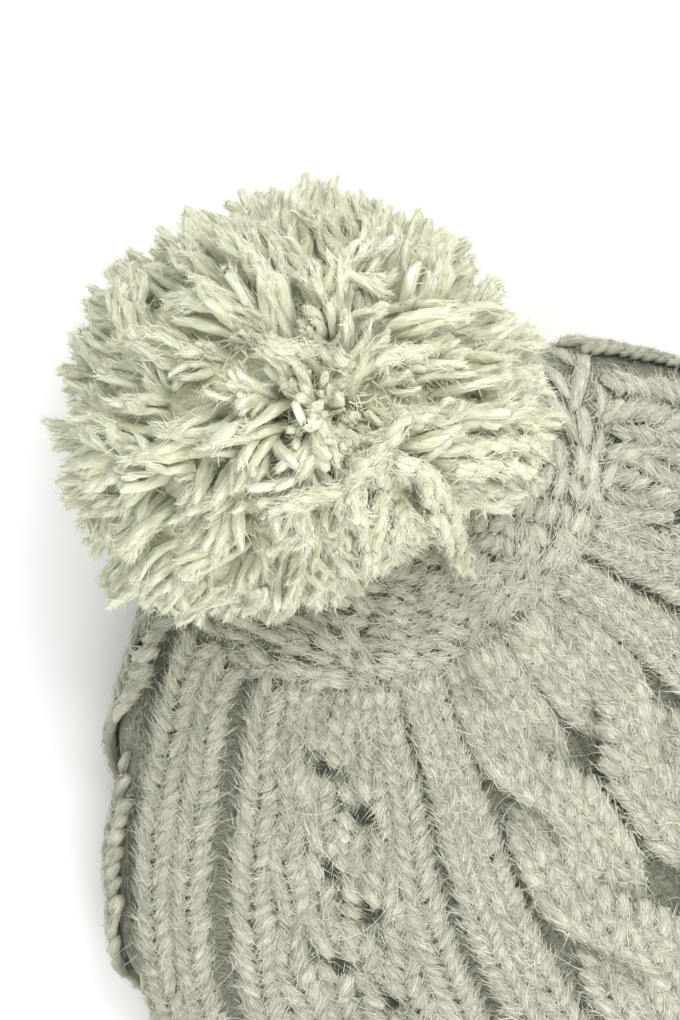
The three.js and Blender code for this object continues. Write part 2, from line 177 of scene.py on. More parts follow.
def face_point(share, angle):
    """The mean outer face of the body. Angle 0 is the +Y fold and a quarter turn the top line."""
    across, up = np.cos(angle), np.sin(angle)
    dome = np.maximum(1 - np.abs(across) ** FOLD_SHARPNESS, 0) ** (1 / FOLD_SHARPNESS)
    side = section("sideX", share) * BODY_LENGTH
    side_z = section("sideZ", share) * LOFT
    end_x = np.where(up >= 0, section("topX", share), section("underX", share)) * BODY_LENGTH
    under_z = REST_LIFT + section("underZ", share) * (LOFT - REST_LIFT)
    end_z = np.where(up >= 0, section("topZ", share) * LOFT, under_z)
    half = FLAT_WIDTH / 2
    return np.stack([
        side + (end_x - side) * np.abs(up),
        (section("halfWidth", share) * across + section("sway", share)) * half,
        side_z + (end_z - side_z) * dome,
    ], -1)


def band_point(share, angle):
    """The mean outer face of the ribbed band, whose share runs from the body to the opening."""
    body = face_point(np.ones_like(share), angle)
    width_at_body = SECTIONS[-1, 4] * FLAT_WIDTH
    loft_at_body = SECTIONS[-1, 2] * LOFT
    wide = 1 + (BAND_WIDTH / width_at_body - 1) * smooth(share, 0, 1)
    high = 1 + (BAND_LOFT / loft_at_body - 1) * smooth(share, 0, 1)
    return np.stack([
        BODY_LENGTH + CLEARANCE + share * BAND_HEIGHT,
        body[..., 1] * wide,
        REST_LIFT + (body[..., 2] - REST_LIFT) * high,
    ], -1)


def turn_angles(turn, count=1440):
    """Angles at equal lengths round the reference section, from the top line towards -Y."""
    angles = math.pi / 2 + 2 * math.pi * np.arange(count + 1) / count
    ring = face_point(np.full(count + 1, REFERENCE_SHARE), angles)
    steps = np.hypot(np.diff(ring[:, 1]), np.diff(ring[:, 2]))
    lengths = np.concatenate([[0], np.cumsum(steps)])
    whole = np.floor(turn)
    return np.interp((turn - whole) * lengths[-1], lengths, angles) + whole * 2 * math.pi


# The mean face, its normals and its scale on a fine grid over share (rows) and turn (columns)
GRID_ROWS, GRID_TURNS = 420, 900
GRID_SHARE = np.linspace(0, BAND_END, GRID_ROWS)


def face_grid():
    turn = np.arange(GRID_TURNS + 1) / GRID_TURNS
    share, angle = np.meshgrid(GRID_SHARE, turn_angles(turn), indexing="ij")
    body = face_point(share, angle)
    band = band_point(np.clip((share - BAND_START) * BODY_LENGTH / BAND_HEIGHT, 0, 1), angle)
    return np.where((share > 1)[..., None], band, body)


GRID = face_grid()
GRID_U = np.gradient(GRID, GRID_SHARE, axis=0)
GRID_T = (np.roll(GRID[:, :-1], -1, 1) - np.roll(GRID[:, :-1], 1, 1)) * GRID_TURNS / 2
GRID_T = np.concatenate([GRID_T, GRID_T[:, :1]], 1)
GRID_N = unit(np.cross(GRID_T, GRID_U))
SCALE_U = np.linalg.norm(GRID_U, axis=-1)
SCALE_T = np.linalg.norm(GRID_T, axis=-1)
GRID_SKEW = (GRID_U * GRID_T).sum(-1) / np.maximum(SCALE_U * SCALE_T, 1e-9)


def sample(grid, share, turn):
    """A grid's values at shares and turns, between its points."""
    row = np.clip(share / BAND_END, 0, 1) * (GRID_ROWS - 1)
    col = (turn % 1.0) * GRID_TURNS
    r, c = np.minimum(row.astype(int), GRID_ROWS - 2), np.minimum(col.astype(int), GRID_TURNS - 1)
    fr, fc = row - r, col - c
    if grid.ndim == 3:
        fr, fc = fr[..., None], fc[..., None]
    top = grid[r, c] * (1 - fc) + grid[r, c + 1] * fc
    low = grid[r + 1, c] * (1 - fc) + grid[r + 1, c + 1] * fc
    return top * (1 - fr) + low * fr


def on_hat(share, turn, height):
    """Points at a height over the mean face, kept off the floor."""
    normal = unit(sample(GRID_N, share, turn))
    point = sample(GRID, share, turn) + normal * height[..., None]
    point[..., 2] = np.maximum(point[..., 2], STITCH_GAP + 0.05 * height)
    return point


def top_length(share):
    """Length along the top line, on which the cables run."""
    return np.where(share <= 1, section("topX", share), share) * BODY_LENGTH


def pattern_start(share):
    """Where the panels come out from under the gathered crown: 0 in the crown, 1 past the ridge."""
    return smooth(share, 0.8 * RIDGE_SHARE, 1.25 * RIDGE_SHARE)


def ridge_height(share, turn):
    away = (top_length(share) - section("topX", RIDGE_SHARE) * BODY_LENGTH) / RIDGE_WIDTH
    pleat = GATHER_RELIEF * np.sin(GATHER_COUNT * 2 * math.pi * turn)
    pleat = pleat * smooth(share, 0, 0.5 * RIDGE_SHARE) * (1 - pattern_start(share))
    return CROWN_RIDGE * np.exp(-(away**2)) + pleat


def strand_path(share, hand, strand):
    """A cable strand's place across its panel and its height, for strand 0 or 1."""
    run = (top_length(share) - CABLE_START) / CABLE_PITCH
    phase = run - np.floor(run)
    over = (np.floor(run).astype(int) + strand) % 2 == 0
    cross = smooth(phase, 0.1, 0.72)
    side = np.where(over, 0.26 + 0.48 * cross, 0.74 - 0.48 * cross)
    lift = CROSSING_LIFT * np.sin(math.pi * np.clip((phase - 0.05) / 0.8, 0, 1))
    height = CABLE_RELIEF + np.where(over, lift, -1.5 * lift)
    return np.where(hand > 0, side, 1 - side), height - 0.4


def panel_edges():
    """Each panel's kind, first and last turn, and its hand or depth, all the way round."""
    edges = []
    for repeat in range(REPEATS):
        start = 0.0
        for kind, width, extra in PANELS:
            low = (repeat + start) / REPEATS - FRONT_OFFSET
            edges.append((kind, low, low + width / REPEATS, extra))
            start += width
    return edges


EDGES = panel_edges()


def lace_wave(share, across):
    """Soft slanting swells of the lace panel, between its eyelets."""
    return LACE_SWELL * np.sin(2 * math.pi * (top_length(share) / EYELET_PITCH - across + 0.1))


def eyelet_places():
    """Share and turn of every eyelet."""
    lace = [(low, high) for kind, low, high, _ in EDGES if kind == "lace"]
    first = RIDGE_SHARE * BODY_LENGTH + EYELET_MARGIN
    places = []
    for across, shift in LACE_LINES:
        for x in np.arange(first + shift * EYELET_PITCH, BODY_LENGTH - EYELET_MARGIN, EYELET_PITCH):
            places += [(x / BODY_LENGTH, low + across * (high - low)) for low, high in lace]
    return np.array(places)


EYELETS = eyelet_places()


def clear_of_eyelets(share, turn, room):
    """True for places that are further than room from every eyelet, in millimetres."""
    here = sample(GRID, share, turn)
    there = sample(GRID, EYELETS[:, 0], EYELETS[:, 1])
    clear = np.ones(len(share), bool)
    for eyelet in there:
        clear &= np.linalg.norm(here - eyelet, axis=1) > room
    return clear


def backing_height(share, turn):
    """Relief of the fabric behind the stitches."""
    whole = (turn + FRONT_OFFSET) % 1.0 - FRONT_OFFSET
    relief = np.zeros_like(share)
    for kind, low, high, extra in EDGES:
        across = (whole - low) / (high - low)
        inside = (across >= 0) & (across < 1)
        arch = np.sin(math.pi * np.clip(across, 0, 1))
        if kind == "cable":
            strands = [strand_path(share, extra, k) for k in (0, 1)]
            domes = [np.sqrt(np.clip(1 - ((across - s) / 0.3) ** 2, 0, 1)) * h for s, h in strands]
            value = np.maximum(*domes)
        elif kind == "ditch":
            value = -DITCH_DEPTH * extra * arch
        else:
            value = PANEL_RELIEF[kind] * arch**0.6
        if kind == "lace":
            value = value + lace_wave(share, across) * arch**0.6
        relief = np.where(inside, value, relief)
    ribs = 1.2 * np.cos(BAND_RIBS * 2 * math.pi * turn)
    return np.where(share > 1, ribs, relief * pattern_start(share)) + ridge_height(share, turn)


def mesh_object(name, points, faces, material, uv=None, shade=None, smooth_faces=True):
    """A mesh from points in millimetres and arrays of triangles and quads, with values per point."""
    mesh = bpy.data.meshes.new(name)
    corners = np.concatenate([f.ravel() for f in faces]).astype(np.int32)
    sizes = np.concatenate([np.full(len(f), f.shape[1], np.int32) for f in faces])
    starts = np.concatenate([[0], np.cumsum(sizes)[:-1]]).astype(np.int32)
    mesh.vertices.add(len(points))
    mesh.loops.add(len(corners))
    mesh.polygons.add(len(sizes))
    mesh.vertices.foreach_set("co", ((points + OFFSET) * MM).astype(np.float32).ravel())
    mesh.loops.foreach_set("vertex_index", corners)
    mesh.polygons.foreach_set("loop_start", starts)
    mesh.polygons.foreach_set("use_smooth", np.full(len(sizes), smooth_faces))
    if uv is not None:
        layer = mesh.uv_layers.new(name="Yarn")
        layer.uv.foreach_set("vector", uv[corners].astype(np.float32).ravel())
    if shade is not None:
        attribute = mesh.attributes.new("shade", "FLOAT", "POINT")
        attribute.data.foreach_set("value", shade.astype(np.float32).ravel())
    mesh.update(calc_edges=True)
    mesh.validate()
    mesh.materials.append(material)
    obj = bpy.data.objects.new(name, mesh)
    bpy.context.scene.collection.objects.link(obj)
    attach(obj, "root")
    return obj


def blades(root, half_width, tip, shade):
    """Loose fibres, each one thin triangle: their points, faces and shades."""
    points = np.stack([root - half_width, root + half_width, tip], 1).reshape(-1, 3)
    points[:, 2] = np.maximum(points[:, 2], FLOOR_GAP)
    return points, [np.arange(len(points)).reshape(-1, 3)], shade.repeat(3, 1).ravel()


def fuzz_object(name, fibres, material):
    """A piece of loose fibres, from what blades() gives."""
    points, faces, shade = fibres
    mesh_object(name, points, faces, material, shade=shade, smooth_faces=False)


def ring_quads(rings, sides):
    """Quads between rings of points that lie one after another."""
    i = np.arange(sides)
    n = (i + 1) % sides
    return np.concatenate([np.stack([i, n, n + sides, i + sides], 1) + r * sides for r in range(rings - 1)])


# A lobe of yarn is a stitch leg or a purl bump.
LOBE_RINGS = np.array([0.14, 0.5, 0.86])
LOBE_SIDES = 5
LOBE_FLAT = 0.62  # a leg's thickness over its width
RADIUS_COLUMN, SHADE_AND_TONE_COLUMN = 6, 10  # places in a packed row of Stitches


def lobe_faces(count, rings, sides):
    """Faces of a number of closed tubes with a point at each end, one tube after another."""
    i = np.arange(sides)
    n = (i + 1) % sides
    first, last = rings * sides, rings * sides + 1
    end = (rings - 1) * sides
    caps = np.concatenate([
        np.stack([np.full(sides, first), n, i], 1),
        np.stack([np.full(sides, last), end + i, end + n], 1),
    ])
    base = (np.arange(count) * (last + 1))[:, None, None]
    return [(caps + base).reshape(-1, 3), (ring_quads(rings, sides) + base).reshape(-1, 4)]


class Stitches:
    """Lobes laid on the hat. Each has a place, a path in rows and half widths, a radius and a height."""

    def __init__(self):
        self.rows = []

    def add(self, share, turn, along, across, row, half, radius, height, dome, edge_drop, tone=1.0):
        """along and across give a lobe's start and end, in rows and in half widths of the wale."""
        def fill(value):
            return np.broadcast_to(np.asarray(value, float), share.shape).copy()

        # The tone scales the lobe's shade attribute: below 1 it is painted shade on sunk purl bars, above 1
        # painted light on the crown; the random factor is the yarn's own uneven tone.
        self.rows.append([
            share, fill(turn), np.stack([fill(a) for a in along], 1), np.stack([fill(a) for a in across], 1),
            fill(row), fill(half), fill(radius), fill(height), fill(dome), fill(edge_drop),
            fill(tone) * RNG.uniform(0.82, 1.12, len(share)),
        ])

    def packed(self):
        """One array for each value of all the lobes, without those that would cover an eyelet."""
        columns = [np.concatenate(column) for column in zip(*self.rows)]
        clear = np.ones(len(columns[0]), bool)
        for q in (0.1, 0.5, 0.9):
            s, t, _ = centre_line(columns, np.full((len(columns[0]), 1), q))
            clear &= clear_of_eyelets(s[:, 0], t[:, 0], EYELET_RADIUS + 0.9)
        return [column[clear] for column in columns]


def leg_rows(low, high, turn, pitch=ROW_PITCH):
    """Shares of the rows of one wale, at equal lengths along it."""
    share = np.linspace(low, high, 400)
    steps = sample(SCALE_U, share[1:], np.full(399, turn)) * np.diff(share)
    lengths = np.concatenate([[0], np.cumsum(steps)])
    return np.interp(np.arange(0.5 * pitch, lengths[-1], pitch), lengths, share)


def row_share(share, turn, pitch=ROW_PITCH):
    """One row as a share of the body's length, at a place."""
    return pitch / sample(SCALE_U, share, np.zeros_like(share) + turn)


def add_wale(stitches, share, centre, half, height, dome, slope=1.0, twist=0.0, size=1.0):
    """A column of V stitches: two legs a row, from the V's point towards the brim, outwards and up."""
    n = len(share)
    row = row_share(share, centre, size * ROW_PITCH)
    for side in (-1, 1):
        jitter = RNG.normal(0, 0.1, (2, n))
        rise = slope * (1.15 + side * twist)
        along = [0.62 + jitter[0], -rise]
        across = [side * (0.04 + 0 * jitter[1]), side * (0.94 + jitter[1])]
        place = share + RNG.normal(0, 0.1, n) * row
        radius = 0.62 * size * ROW_PITCH * RNG.uniform(0.85, 1.15, n)
        stitches.add(place, centre, along, across, row, half, radius, height, dome, 0.7)


def add_bars(stitches, share, turn, row, half, size, height, tone):
    """Purl bars across a groove."""
    tilt = RNG.normal(0, 0.12, len(share))
    radius = size * ROW_PITCH * RNG.uniform(0.9, 1.1, len(share))
    stitches.add(share, turn, [-tilt, tilt], [-1.0, 1.0], row, half, radius, height, 0.0, 0.3, tone)


def add_cable(stitches, low, high, hand):
    """The two strands of a cable, each of two columns."""
    width = high - low
    for strand in (0, 1):
        share = leg_rows(STITCHES_START, STITCHES_END, (low + high) / 2, CABLE_ROW * ROW_PITCH)
        side, height = strand_path(share, hand, strand)
        puff = CABLE_PUFF * smooth(height, 1.5, 4.5)
        for edge in (-1, 1):
            centre = low + width * (side + 0.125 * edge)
            add_wale(stitches, share, centre, 0.15 * width, height + puff - 1.5, 1.5, 1.1, 0.0, CABLE_ROW)


def add_ditch(stitches, low, high, depth):
    """A sunk panel of purl bars."""
    middle = (low + high) / 2
    share = leg_rows(STITCHES_START, STITCHES_END, middle, 0.62 * ROW_PITCH)
    row, half = row_share(share, low), 0.62 * (high - low)
    # The bars' tone 0.3 is painted shade down in the ditch.
    add_bars(stitches, share, middle, row, half, 0.36, -DITCH_DEPTH * depth - 0.2, 0.3)


def add_ribs(stitches, low, high, lift):
    """A plain rib, as one column or, where it is wide, as several."""
    width = high - low
    broad = width * sample(SCALE_T, np.array([0.6]), np.array([(low + high) / 2]))[0]
    wales = max(1, round(broad / WALE_WIDTH))
    half, dome = 0.5 * width / wales * (1.16 if wales == 1 else 1.05), 2.0
    for w in range(wales):
        centre = low + width * (w + 0.5) / wales
        share = leg_rows(STITCHES_START, STITCHES_END, centre)
        add_wale(stitches, share, centre, half, lift - dome + 0.4, dome, 1.0, 0.25 * (-1) ** w)


def add_lace(stitches, low, high):
    """The lace panel's columns, which weave between its eyelets."""
    wale, dome = (high - low) / LACE_WALES, 0.9
    for w in range(LACE_WALES):
        centre = low + wale * (w + 0.5)
        share = leg_rows(STITCHES_START, STITCHES_END, centre)
        lift = LACE_RELIEF + lace_wave(share, (w + 0.5) / LACE_WALES)
        weave = 0.16 * np.sin(2 * math.pi * (top_length(share) / EYELET_PITCH + 0.5 * w))
        height = lift - dome + 0.4
        add_wale(stitches, share, centre + wale * weave, 0.525 * wale, height, dome, 1.0, 0.25 * (-1) ** w)


def body_stitches():
    """Every panel of the body, from the ridge to the ribbed band."""
    stitches = Stitches()
    for kind, low, high, extra in EDGES:
        if kind == "cable":
            add_cable(stitches, low, high, extra)
        elif kind == "ditch":
            add_ditch(stitches, low, high, extra)
        elif kind == "lace":
            add_lace(stitches, low, high)
        else:
            add_ribs(stitches, low, high, PANEL_RELIEF[kind])
    return stitches


def crown_stitches():
    """Purl bumps round the gathered crown and its ridge, in rings."""
    stitches = Stitches()
    pitch = CROWN_ROW / BODY_LENGTH
    for number, share in enumerate(np.arange(0.022, STITCHES_START, pitch)):
        length = sample(SCALE_T, np.full(64, share), np.arange(64) / 64).mean()
        count = max(int(length / PURL_LENGTH), 7)
        turn = (np.arange(count) + 0.5 * (number % 2) + RNG.normal(0, 0.08, count)) / count
        tilt = RNG.normal(0, 0.45, count)
        place = share + RNG.normal(0, 0.22, count) * pitch
        radius = 0.75 * CROWN_ROW * RNG.uniform(0.8, 1.2, count)
        height = RNG.normal(0.2, 0.25, count)
        half = 0.56 / count
        # Tone 1.2 is painted light, lifting the crown out of the pompom's shadow.
        stitches.add(place, turn, [-tilt, tilt], [-1.05, 1.05], pitch, half, radius, height, 0.0, 0.7, 1.2)
    return stitches


def inner_stitches():
    """Stitches inside the opening, in a column behind each groove between the ribs."""
    stitches = Stitches()
    for rib in range(BAND_RIBS):
        middle = (rib + 0.5) / BAND_RIBS
        bars = leg_rows(BAND_START, BAND_END, middle, 1.15 * ROW_PITCH)
        row, half = ROW_PITCH / BODY_LENGTH, 0.34 / BAND_RIBS
        add_bars(stitches, bars, middle, row, half, 0.52, -BAND_WALL - 0.3, 0.8)
    return stitches


def band_stitches():
    """Ribs of V stitches with purl bars between them."""
    stitches = Stitches()
    for rib in range(BAND_RIBS):
        share = leg_rows(BAND_START, BAND_END, rib / BAND_RIBS)
        add_wale(stitches, share, rib / BAND_RIBS, 0.3 / BAND_RIBS, 0.2, 1.2)
        middle = (rib + 0.5) / BAND_RIBS
        bars = leg_rows(BAND_START, BAND_END, middle, 0.7 * ROW_PITCH)
        # The bars' tone 0.45 is painted shade between the ribs.
        add_bars(stitches, bars, middle, ROW_PITCH / BODY_LENGTH, 0.24 / BAND_RIBS, 0.34, -1.1, 0.45)
    return stitches


def stepped(share, turn, along, across):
    """Shares and turns a way along the wale and square to it, both in millimetres."""
    skew = np.clip(sample(GRID_SKEW, share, turn), -0.85, 0.85)
    square = np.sqrt(1 - skew**2)
    return (
        share + (along - skew * across / square) / sample(SCALE_U, share, turn),
        turn + across / square / sample(SCALE_T, share, turn),
    )


def centre_line(packed, q):
    """Share, turn and height of the lobes' middle lines at q, one q for each lobe or several."""
    share, turn, along, across, row, half, radius, height, dome, drop, _ = packed
    share, turn = share[:, None], turn[:, None]
    square = np.sqrt(1 - np.clip(sample(GRID_SKEW, share, turn), -0.85, 0.85) ** 2)
    row_length = row[:, None] * sample(SCALE_U, share, turn)
    half_length = half[:, None] * sample(SCALE_T, share, turn) * square
    c = across[:, :1] + (across[:, 1:] - across[:, :1]) * q**0.92
    a = along[:, :1] + (along[:, 1:] - along[:, :1]) * q**1.15
    s, t = stepped(share, turn, a * row_length, c * half_length)
    rounded = np.sqrt(np.clip(1 - (c * 0.92) ** 2, 0, 1))
    bend = np.sin(math.pi * q)
    h = height[:, None] + dome[:, None] * rounded + drop[:, None] * (bend - 1) + ridge_height(s, t)
    return s, t, h


def lobe_mesh(packed):
    """Points, faces, yarn coordinates and shade of all the lobes."""
    count = len(packed[0])
    q = np.concatenate([[0.0], LOBE_RINGS, [1.0]])[None].repeat(count, 0)
    s, t, h = centre_line(packed, q)
    middle = on_hat(s, t, h)
    normal = sample(GRID_N, s, t)
    side = unit(np.cross(unit(np.gradient(middle, axis=1)), normal))
    run = np.linalg.norm(np.diff(middle, axis=1, prepend=middle[:, :1]), axis=-1)
    length = np.cumsum(run, 1)
    swell = np.sqrt(np.clip(np.sin(math.pi * (0.06 + 0.88 * q)), 0, 1))
    radius = (packed[RADIUS_COLUMN][:, None] * swell)[:, 1:-1, None, None]
    angle = circle(LOBE_SIDES, 0.25)
    cos, sin = np.cos(angle)[:, None], np.sin(angle)[:, None]
    around = cos * side[:, 1:-1, None] + LOBE_FLAT * sin * normal[:, 1:-1, None]
    ring = middle[:, 1:-1, None] + radius * around
    ends = middle[:, [0, -1]] - 0.4 * normal[:, [0, -1]]
    points = np.concatenate([ring.reshape(count, -1, 3), ends], 1)
    points[..., 2] = np.maximum(points[..., 2], STITCH_GAP)
    chance = RNG.uniform(0, 1000, (count, 1))
    flat = np.zeros((count, len(LOBE_RINGS), LOBE_SIDES))
    u = np.concatenate([(length[:, 1:-1, None] + flat).reshape(count, -1), length[:, [0, -1]]], 1) + chance
    v = np.concatenate([(flat + angle * 1.6).reshape(count, -1), np.full((count, 2), 2.4)], 1) + chance * 0.37
    # Painted shade and light: each lobe is paler on its outer crest and darker on its underside and at its
    # tucked ends; the tone then scales the whole lobe.
    crest = 0.5 + 0.5 * np.sin(angle)
    shade = np.concatenate([(flat + crest).reshape(count, -1), np.full((count, 2), 0.2)], 1)
    shade = shade * packed[SHADE_AND_TONE_COLUMN][:, None]
    faces = lobe_faces(count, len(LOBE_RINGS), LOBE_SIDES)
    return points.reshape(-1, 3), faces, np.stack([u.ravel(), v.ravel()], 1), shade.ravel()


def stitch_fibres(packed, count, length, lift, pale=0.0):
    """Short fibres on the lobes, each standing off at its tip, with fewer on the underside."""
    keep = RNG.random(4 * count)
    pick = RNG.integers(0, len(packed[0]), 4 * count)
    facing = sample(GRID_N, packed[0][pick], packed[1][pick])[:, 2]
    pick = pick[keep < np.where(facing < -0.35, 0.16, 1.0)][:count]
    chosen = [column[pick] for column in packed]
    q = RNG.uniform(0.02, 0.98, (count, 1))
    s, t, h = (x[:, 0] for x in centre_line(chosen, q))
    s_next, t_next, _ = (x[:, 0] for x in centre_line(chosen, q + 0.05))
    normal = sample(GRID_N, s, t)
    middle = on_hat(s, t, h)
    along = unit(on_hat(s_next, t_next, h) - middle)
    side = np.cross(along, normal)
    roll = RNG.uniform(-1.3, 1.3, (count, 1))
    out = np.sin(roll) * side + LOBE_FLAT * np.cos(roll) * normal
    root = middle + chosen[RADIUS_COLUMN][:, None] * out
    turn = RNG.normal(0, 0.38, (count, 1)) + math.pi * RNG.integers(0, 2, (count, 1))
    heading = np.cos(turn) * along + np.sin(turn) * side
    reach = RNG.uniform(0.45, 1.35, (count, 1)) * length * (1 - 0.45 * (2 * q - 1) ** 2)
    stand = np.abs(RNG.normal(0.2, lift, (count, 1)))
    tip = root + heading * reach + normal * (stand - reach**2 * 0.012)
    half_width = np.cross(heading, normal) * FIBRE_WIDTH / 2 * RNG.uniform(0.6, 1.15, (count, 1))
    # Painted shade: fibres on sunk purl bars take their darker tone. A pale floor above 0 is painted light,
    # which the crown's fibres get.
    shade = RNG.uniform(pale, 1, (count, 1)) * np.minimum(chosen[SHADE_AND_TONE_COLUMN][:, None], 1.0)
    return blades(root, half_width, tip, shade)


def ground_fibres(count, low, high, length, lift, face=1):
    """Fibres on the fabric behind the stitches, or with face -1 on its inner face."""
    share = RNG.uniform(low, high, 3 * count)
    turn = RNG.random(3 * count)
    size = sample(SCALE_U, share, turn) * sample(SCALE_T, share, turn)
    facing = sample(GRID_N, share, turn)[:, 2]
    keep = RNG.random(3 * count) < size / size.max() * np.where(facing < -0.35, 0.3, 1.0) ** face
    share, turn = share[keep][:count], turn[keep][:count]
    clear = clear_of_eyelets(share, turn, EYELET_RADIUS + 0.4)
    share, turn = share[clear], turn[clear]
    shape = (len(share), 1)
    if face == 1:
        height = backing_height(share, turn) - BACKING_SINK
    else:
        height = -0.3 - np.where(share < 1, WALL, BAND_WALL)
    normal = sample(GRID_N, share, turn) * face
    root = on_hat(share, turn, height)
    along = unit(on_hat(share + 0.004, turn, height) - root)
    angle = RNG.uniform(0, 2 * math.pi, shape)
    heading = np.cos(angle) * along + np.sin(angle) * np.cross(along, normal)
    reach = RNG.uniform(0.5, 1.3, shape) * length
    tip = root + heading * reach + normal * np.abs(RNG.normal(0.5, lift, shape))
    # Painted shade and light: fibres on the fabric between the stitches stay darker than those on the
    # stitches, and those on the crown are lifted by 0.4 against the pompom's shadow.
    shade = RNG.uniform(0, 0.7, shape) + 0.4 * (share < 1.15 * RIDGE_SHARE)[:, None]
    return blades(root, np.cross(heading, normal) * FIBRE_WIDTH / 2, tip, shade)


def stray_hairs(count, low, high):
    """Long loose hairs that lie over the knitting in wide curls."""
    share, turn = RNG.uniform(low, high, count), RNG.random(count)
    start = RNG.uniform(0, 2 * math.pi, count)
    curl = RNG.normal(0, 0.14, count)
    reach = RNG.uniform(8, 26, count)
    segments = 9
    step = reach / segments
    pairs = []
    for k in range(segments + 1):
        angle = start + curl * k * step
        share, turn = stepped(share, turn, np.cos(angle) * step, np.sin(angle) * step)
        bow = 1.6 * np.sin(math.pi * k / segments) + 0.4 * np.sin(k * 2.1 + start)
        height = backing_height(share, turn) + 1.2 + bow
        beside = stepped(share, turn, -np.sin(angle) * 0.1, np.cos(angle) * 0.1)
        pairs.append(np.stack([on_hat(share, turn, height), on_hat(*beside, height)], 1))
    points = np.stack(pairs, 1)
    points[..., 2] = np.maximum(points[..., 2], FLOOR_GAP)
    base = (np.arange(count) * 2 * (segments + 1))[:, None, None]
    k = 2 * np.arange(segments)[:, None]
    quads = np.concatenate([k, k + 1, k + 3, k + 2], 1) + base
    shade = np.full(points.size // 3, 1.0)
    mesh_object("stray_hairs", points.reshape(-1, 3), [quads.reshape(-1, 4)], WOOL_FIBRE, shade=shade)


def new_material(name):
    """A material and its empty node tree."""
    material = bpy.data.materials.new(name)
    material.use_nodes = True
    material.node_tree.nodes.clear()
    return material, material.node_tree


def add_node(tree, kind, **values):
    """A node with the values of its sockets, in whose names _ stands for a space."""
    node = tree.nodes.new("ShaderNode" + kind)
    for name, value in values.items():
        node.inputs[name.replace("_", " ")].default_value = value
    return node


def math_node(tree, operation, factor=None):
    node = tree.nodes.new("ShaderNodeMath")
    node.operation = operation
    if factor is not None:
        node.inputs[1].default_value = factor
    return node


def link(tree, a, out, b, socket):
    tree.links.new(a.outputs[out], b.inputs[socket])


def shader_of(tree, **values):
    """The tree's shader, joined to its output."""
    shader = add_node(tree, "BsdfPrincipled", **values)
    link(tree, shader, "BSDF", add_node(tree, "OutputMaterial"), "Surface")
    return shader


def shade_node(tree):
    node = tree.nodes.new("ShaderNodeAttribute")
    node.attribute_name = "shade"
    return node


def ramp_node(tree, stops):
    node = tree.nodes.new("ShaderNodeValToRGB")
    elements = node.color_ramp.elements
    while len(elements) < len(stops):
        elements.new(0.5)
    for element, (place, colour) in zip(elements, stops):
        element.position = place
        element.color = (*colour, 1)
    return node


def yarn_material(name, stops, along=0.16, round_about=1.5, bump=0.5, twist=0.0):
    """Brushed yarn: streaks along the strand, with painted shade between the strands and painted light on
    their crests, from the shade attribute.
    """
    material, tree = new_material(name)
    shader = shader_of(tree, Roughness=0.9, Specular_IOR_Level=0.15, Sheen_Weight=0.35, Sheen_Roughness=0.6,
                       Sheen_Tint=(1.0, 0.99, 0.92, 1))
    uv = tree.nodes.new("ShaderNodeUVMap")
    uv.uv_map = "Yarn"
    stretch = add_node(tree, "Mapping", Scale=(along, round_about, 1))
    link(tree, uv, "UV", stretch, "Vector")
    streaks = add_node(tree, "TexNoise", Scale=2.2, Detail=4, Roughness=0.62, Distortion=0.6)
    link(tree, stretch, "Vector", streaks, "Vector")
    mixed = math_node(tree, "MULTIPLY_ADD", 0.52)
    link(tree, shade_node(tree), "Fac", mixed, 0)
    spread = add_node(tree, "MapRange", From_Min=0.3, From_Max=0.72, To_Max=0.55)
    link(tree, streaks, "Fac", spread, "Value")
    link(tree, spread, "Result", mixed, 2)
    colours = ramp_node(tree, stops)
    link(tree, mixed, "Value", colours, "Fac")
    link(tree, colours, "Color", shader, "Base Color")
    height = streaks.outputs["Fac"]
    if twist:
        height = plied(tree, uv, streaks, mixed, colours, twist)
    relief = add_node(tree, "Bump", Strength=bump, Distance=0.0005)
    tree.links.new(height, relief.inputs["Height"])
    link(tree, relief, "Normal", shader, "Normal")
    return material


def plied(tree, uv, streaks, mixed, colours, twist):
    """Grooves between two twisted plies, as painted shade in the colour and as the height that this gives
    back.
    """
    parts = tree.nodes.new("ShaderNodeSeparateXYZ")
    link(tree, uv, "UV", parts, "Vector")
    turned = math_node(tree, "MULTIPLY_ADD", twist)
    link(tree, parts, "X", turned, 0)
    link(tree, parts, "Y", turned, 2)
    wave = math_node(tree, "SINE")
    link(tree, turned, "Value", wave, 0)
    # Painted shade: the colour darkens in the grooves between the plies.
    groove_shade = math_node(tree, "MULTIPLY_ADD", 0.09)
    link(tree, wave, "Value", groove_shade, 0)
    link(tree, mixed, "Value", groove_shade, 2)
    link(tree, groove_shade, "Value", colours, "Fac")
    height = math_node(tree, "MULTIPLY_ADD", 0.8)
    link(tree, wave, "Value", height, 0)
    link(tree, streaks, "Fac", height, 2)
    return height.outputs["Value"]


def fibre_material(name, dark, light):
    """Single fibres, each of its own shade."""
    material, tree = new_material(name)
    shader = shader_of(tree, Roughness=0.75, Specular_IOR_Level=0.2)
    colours = ramp_node(tree, [(0.0, dark), (1.0, light)])
    link(tree, shade_node(tree), "Fac", colours, "Fac")
    link(tree, colours, "Color", shader, "Base Color")
    return material


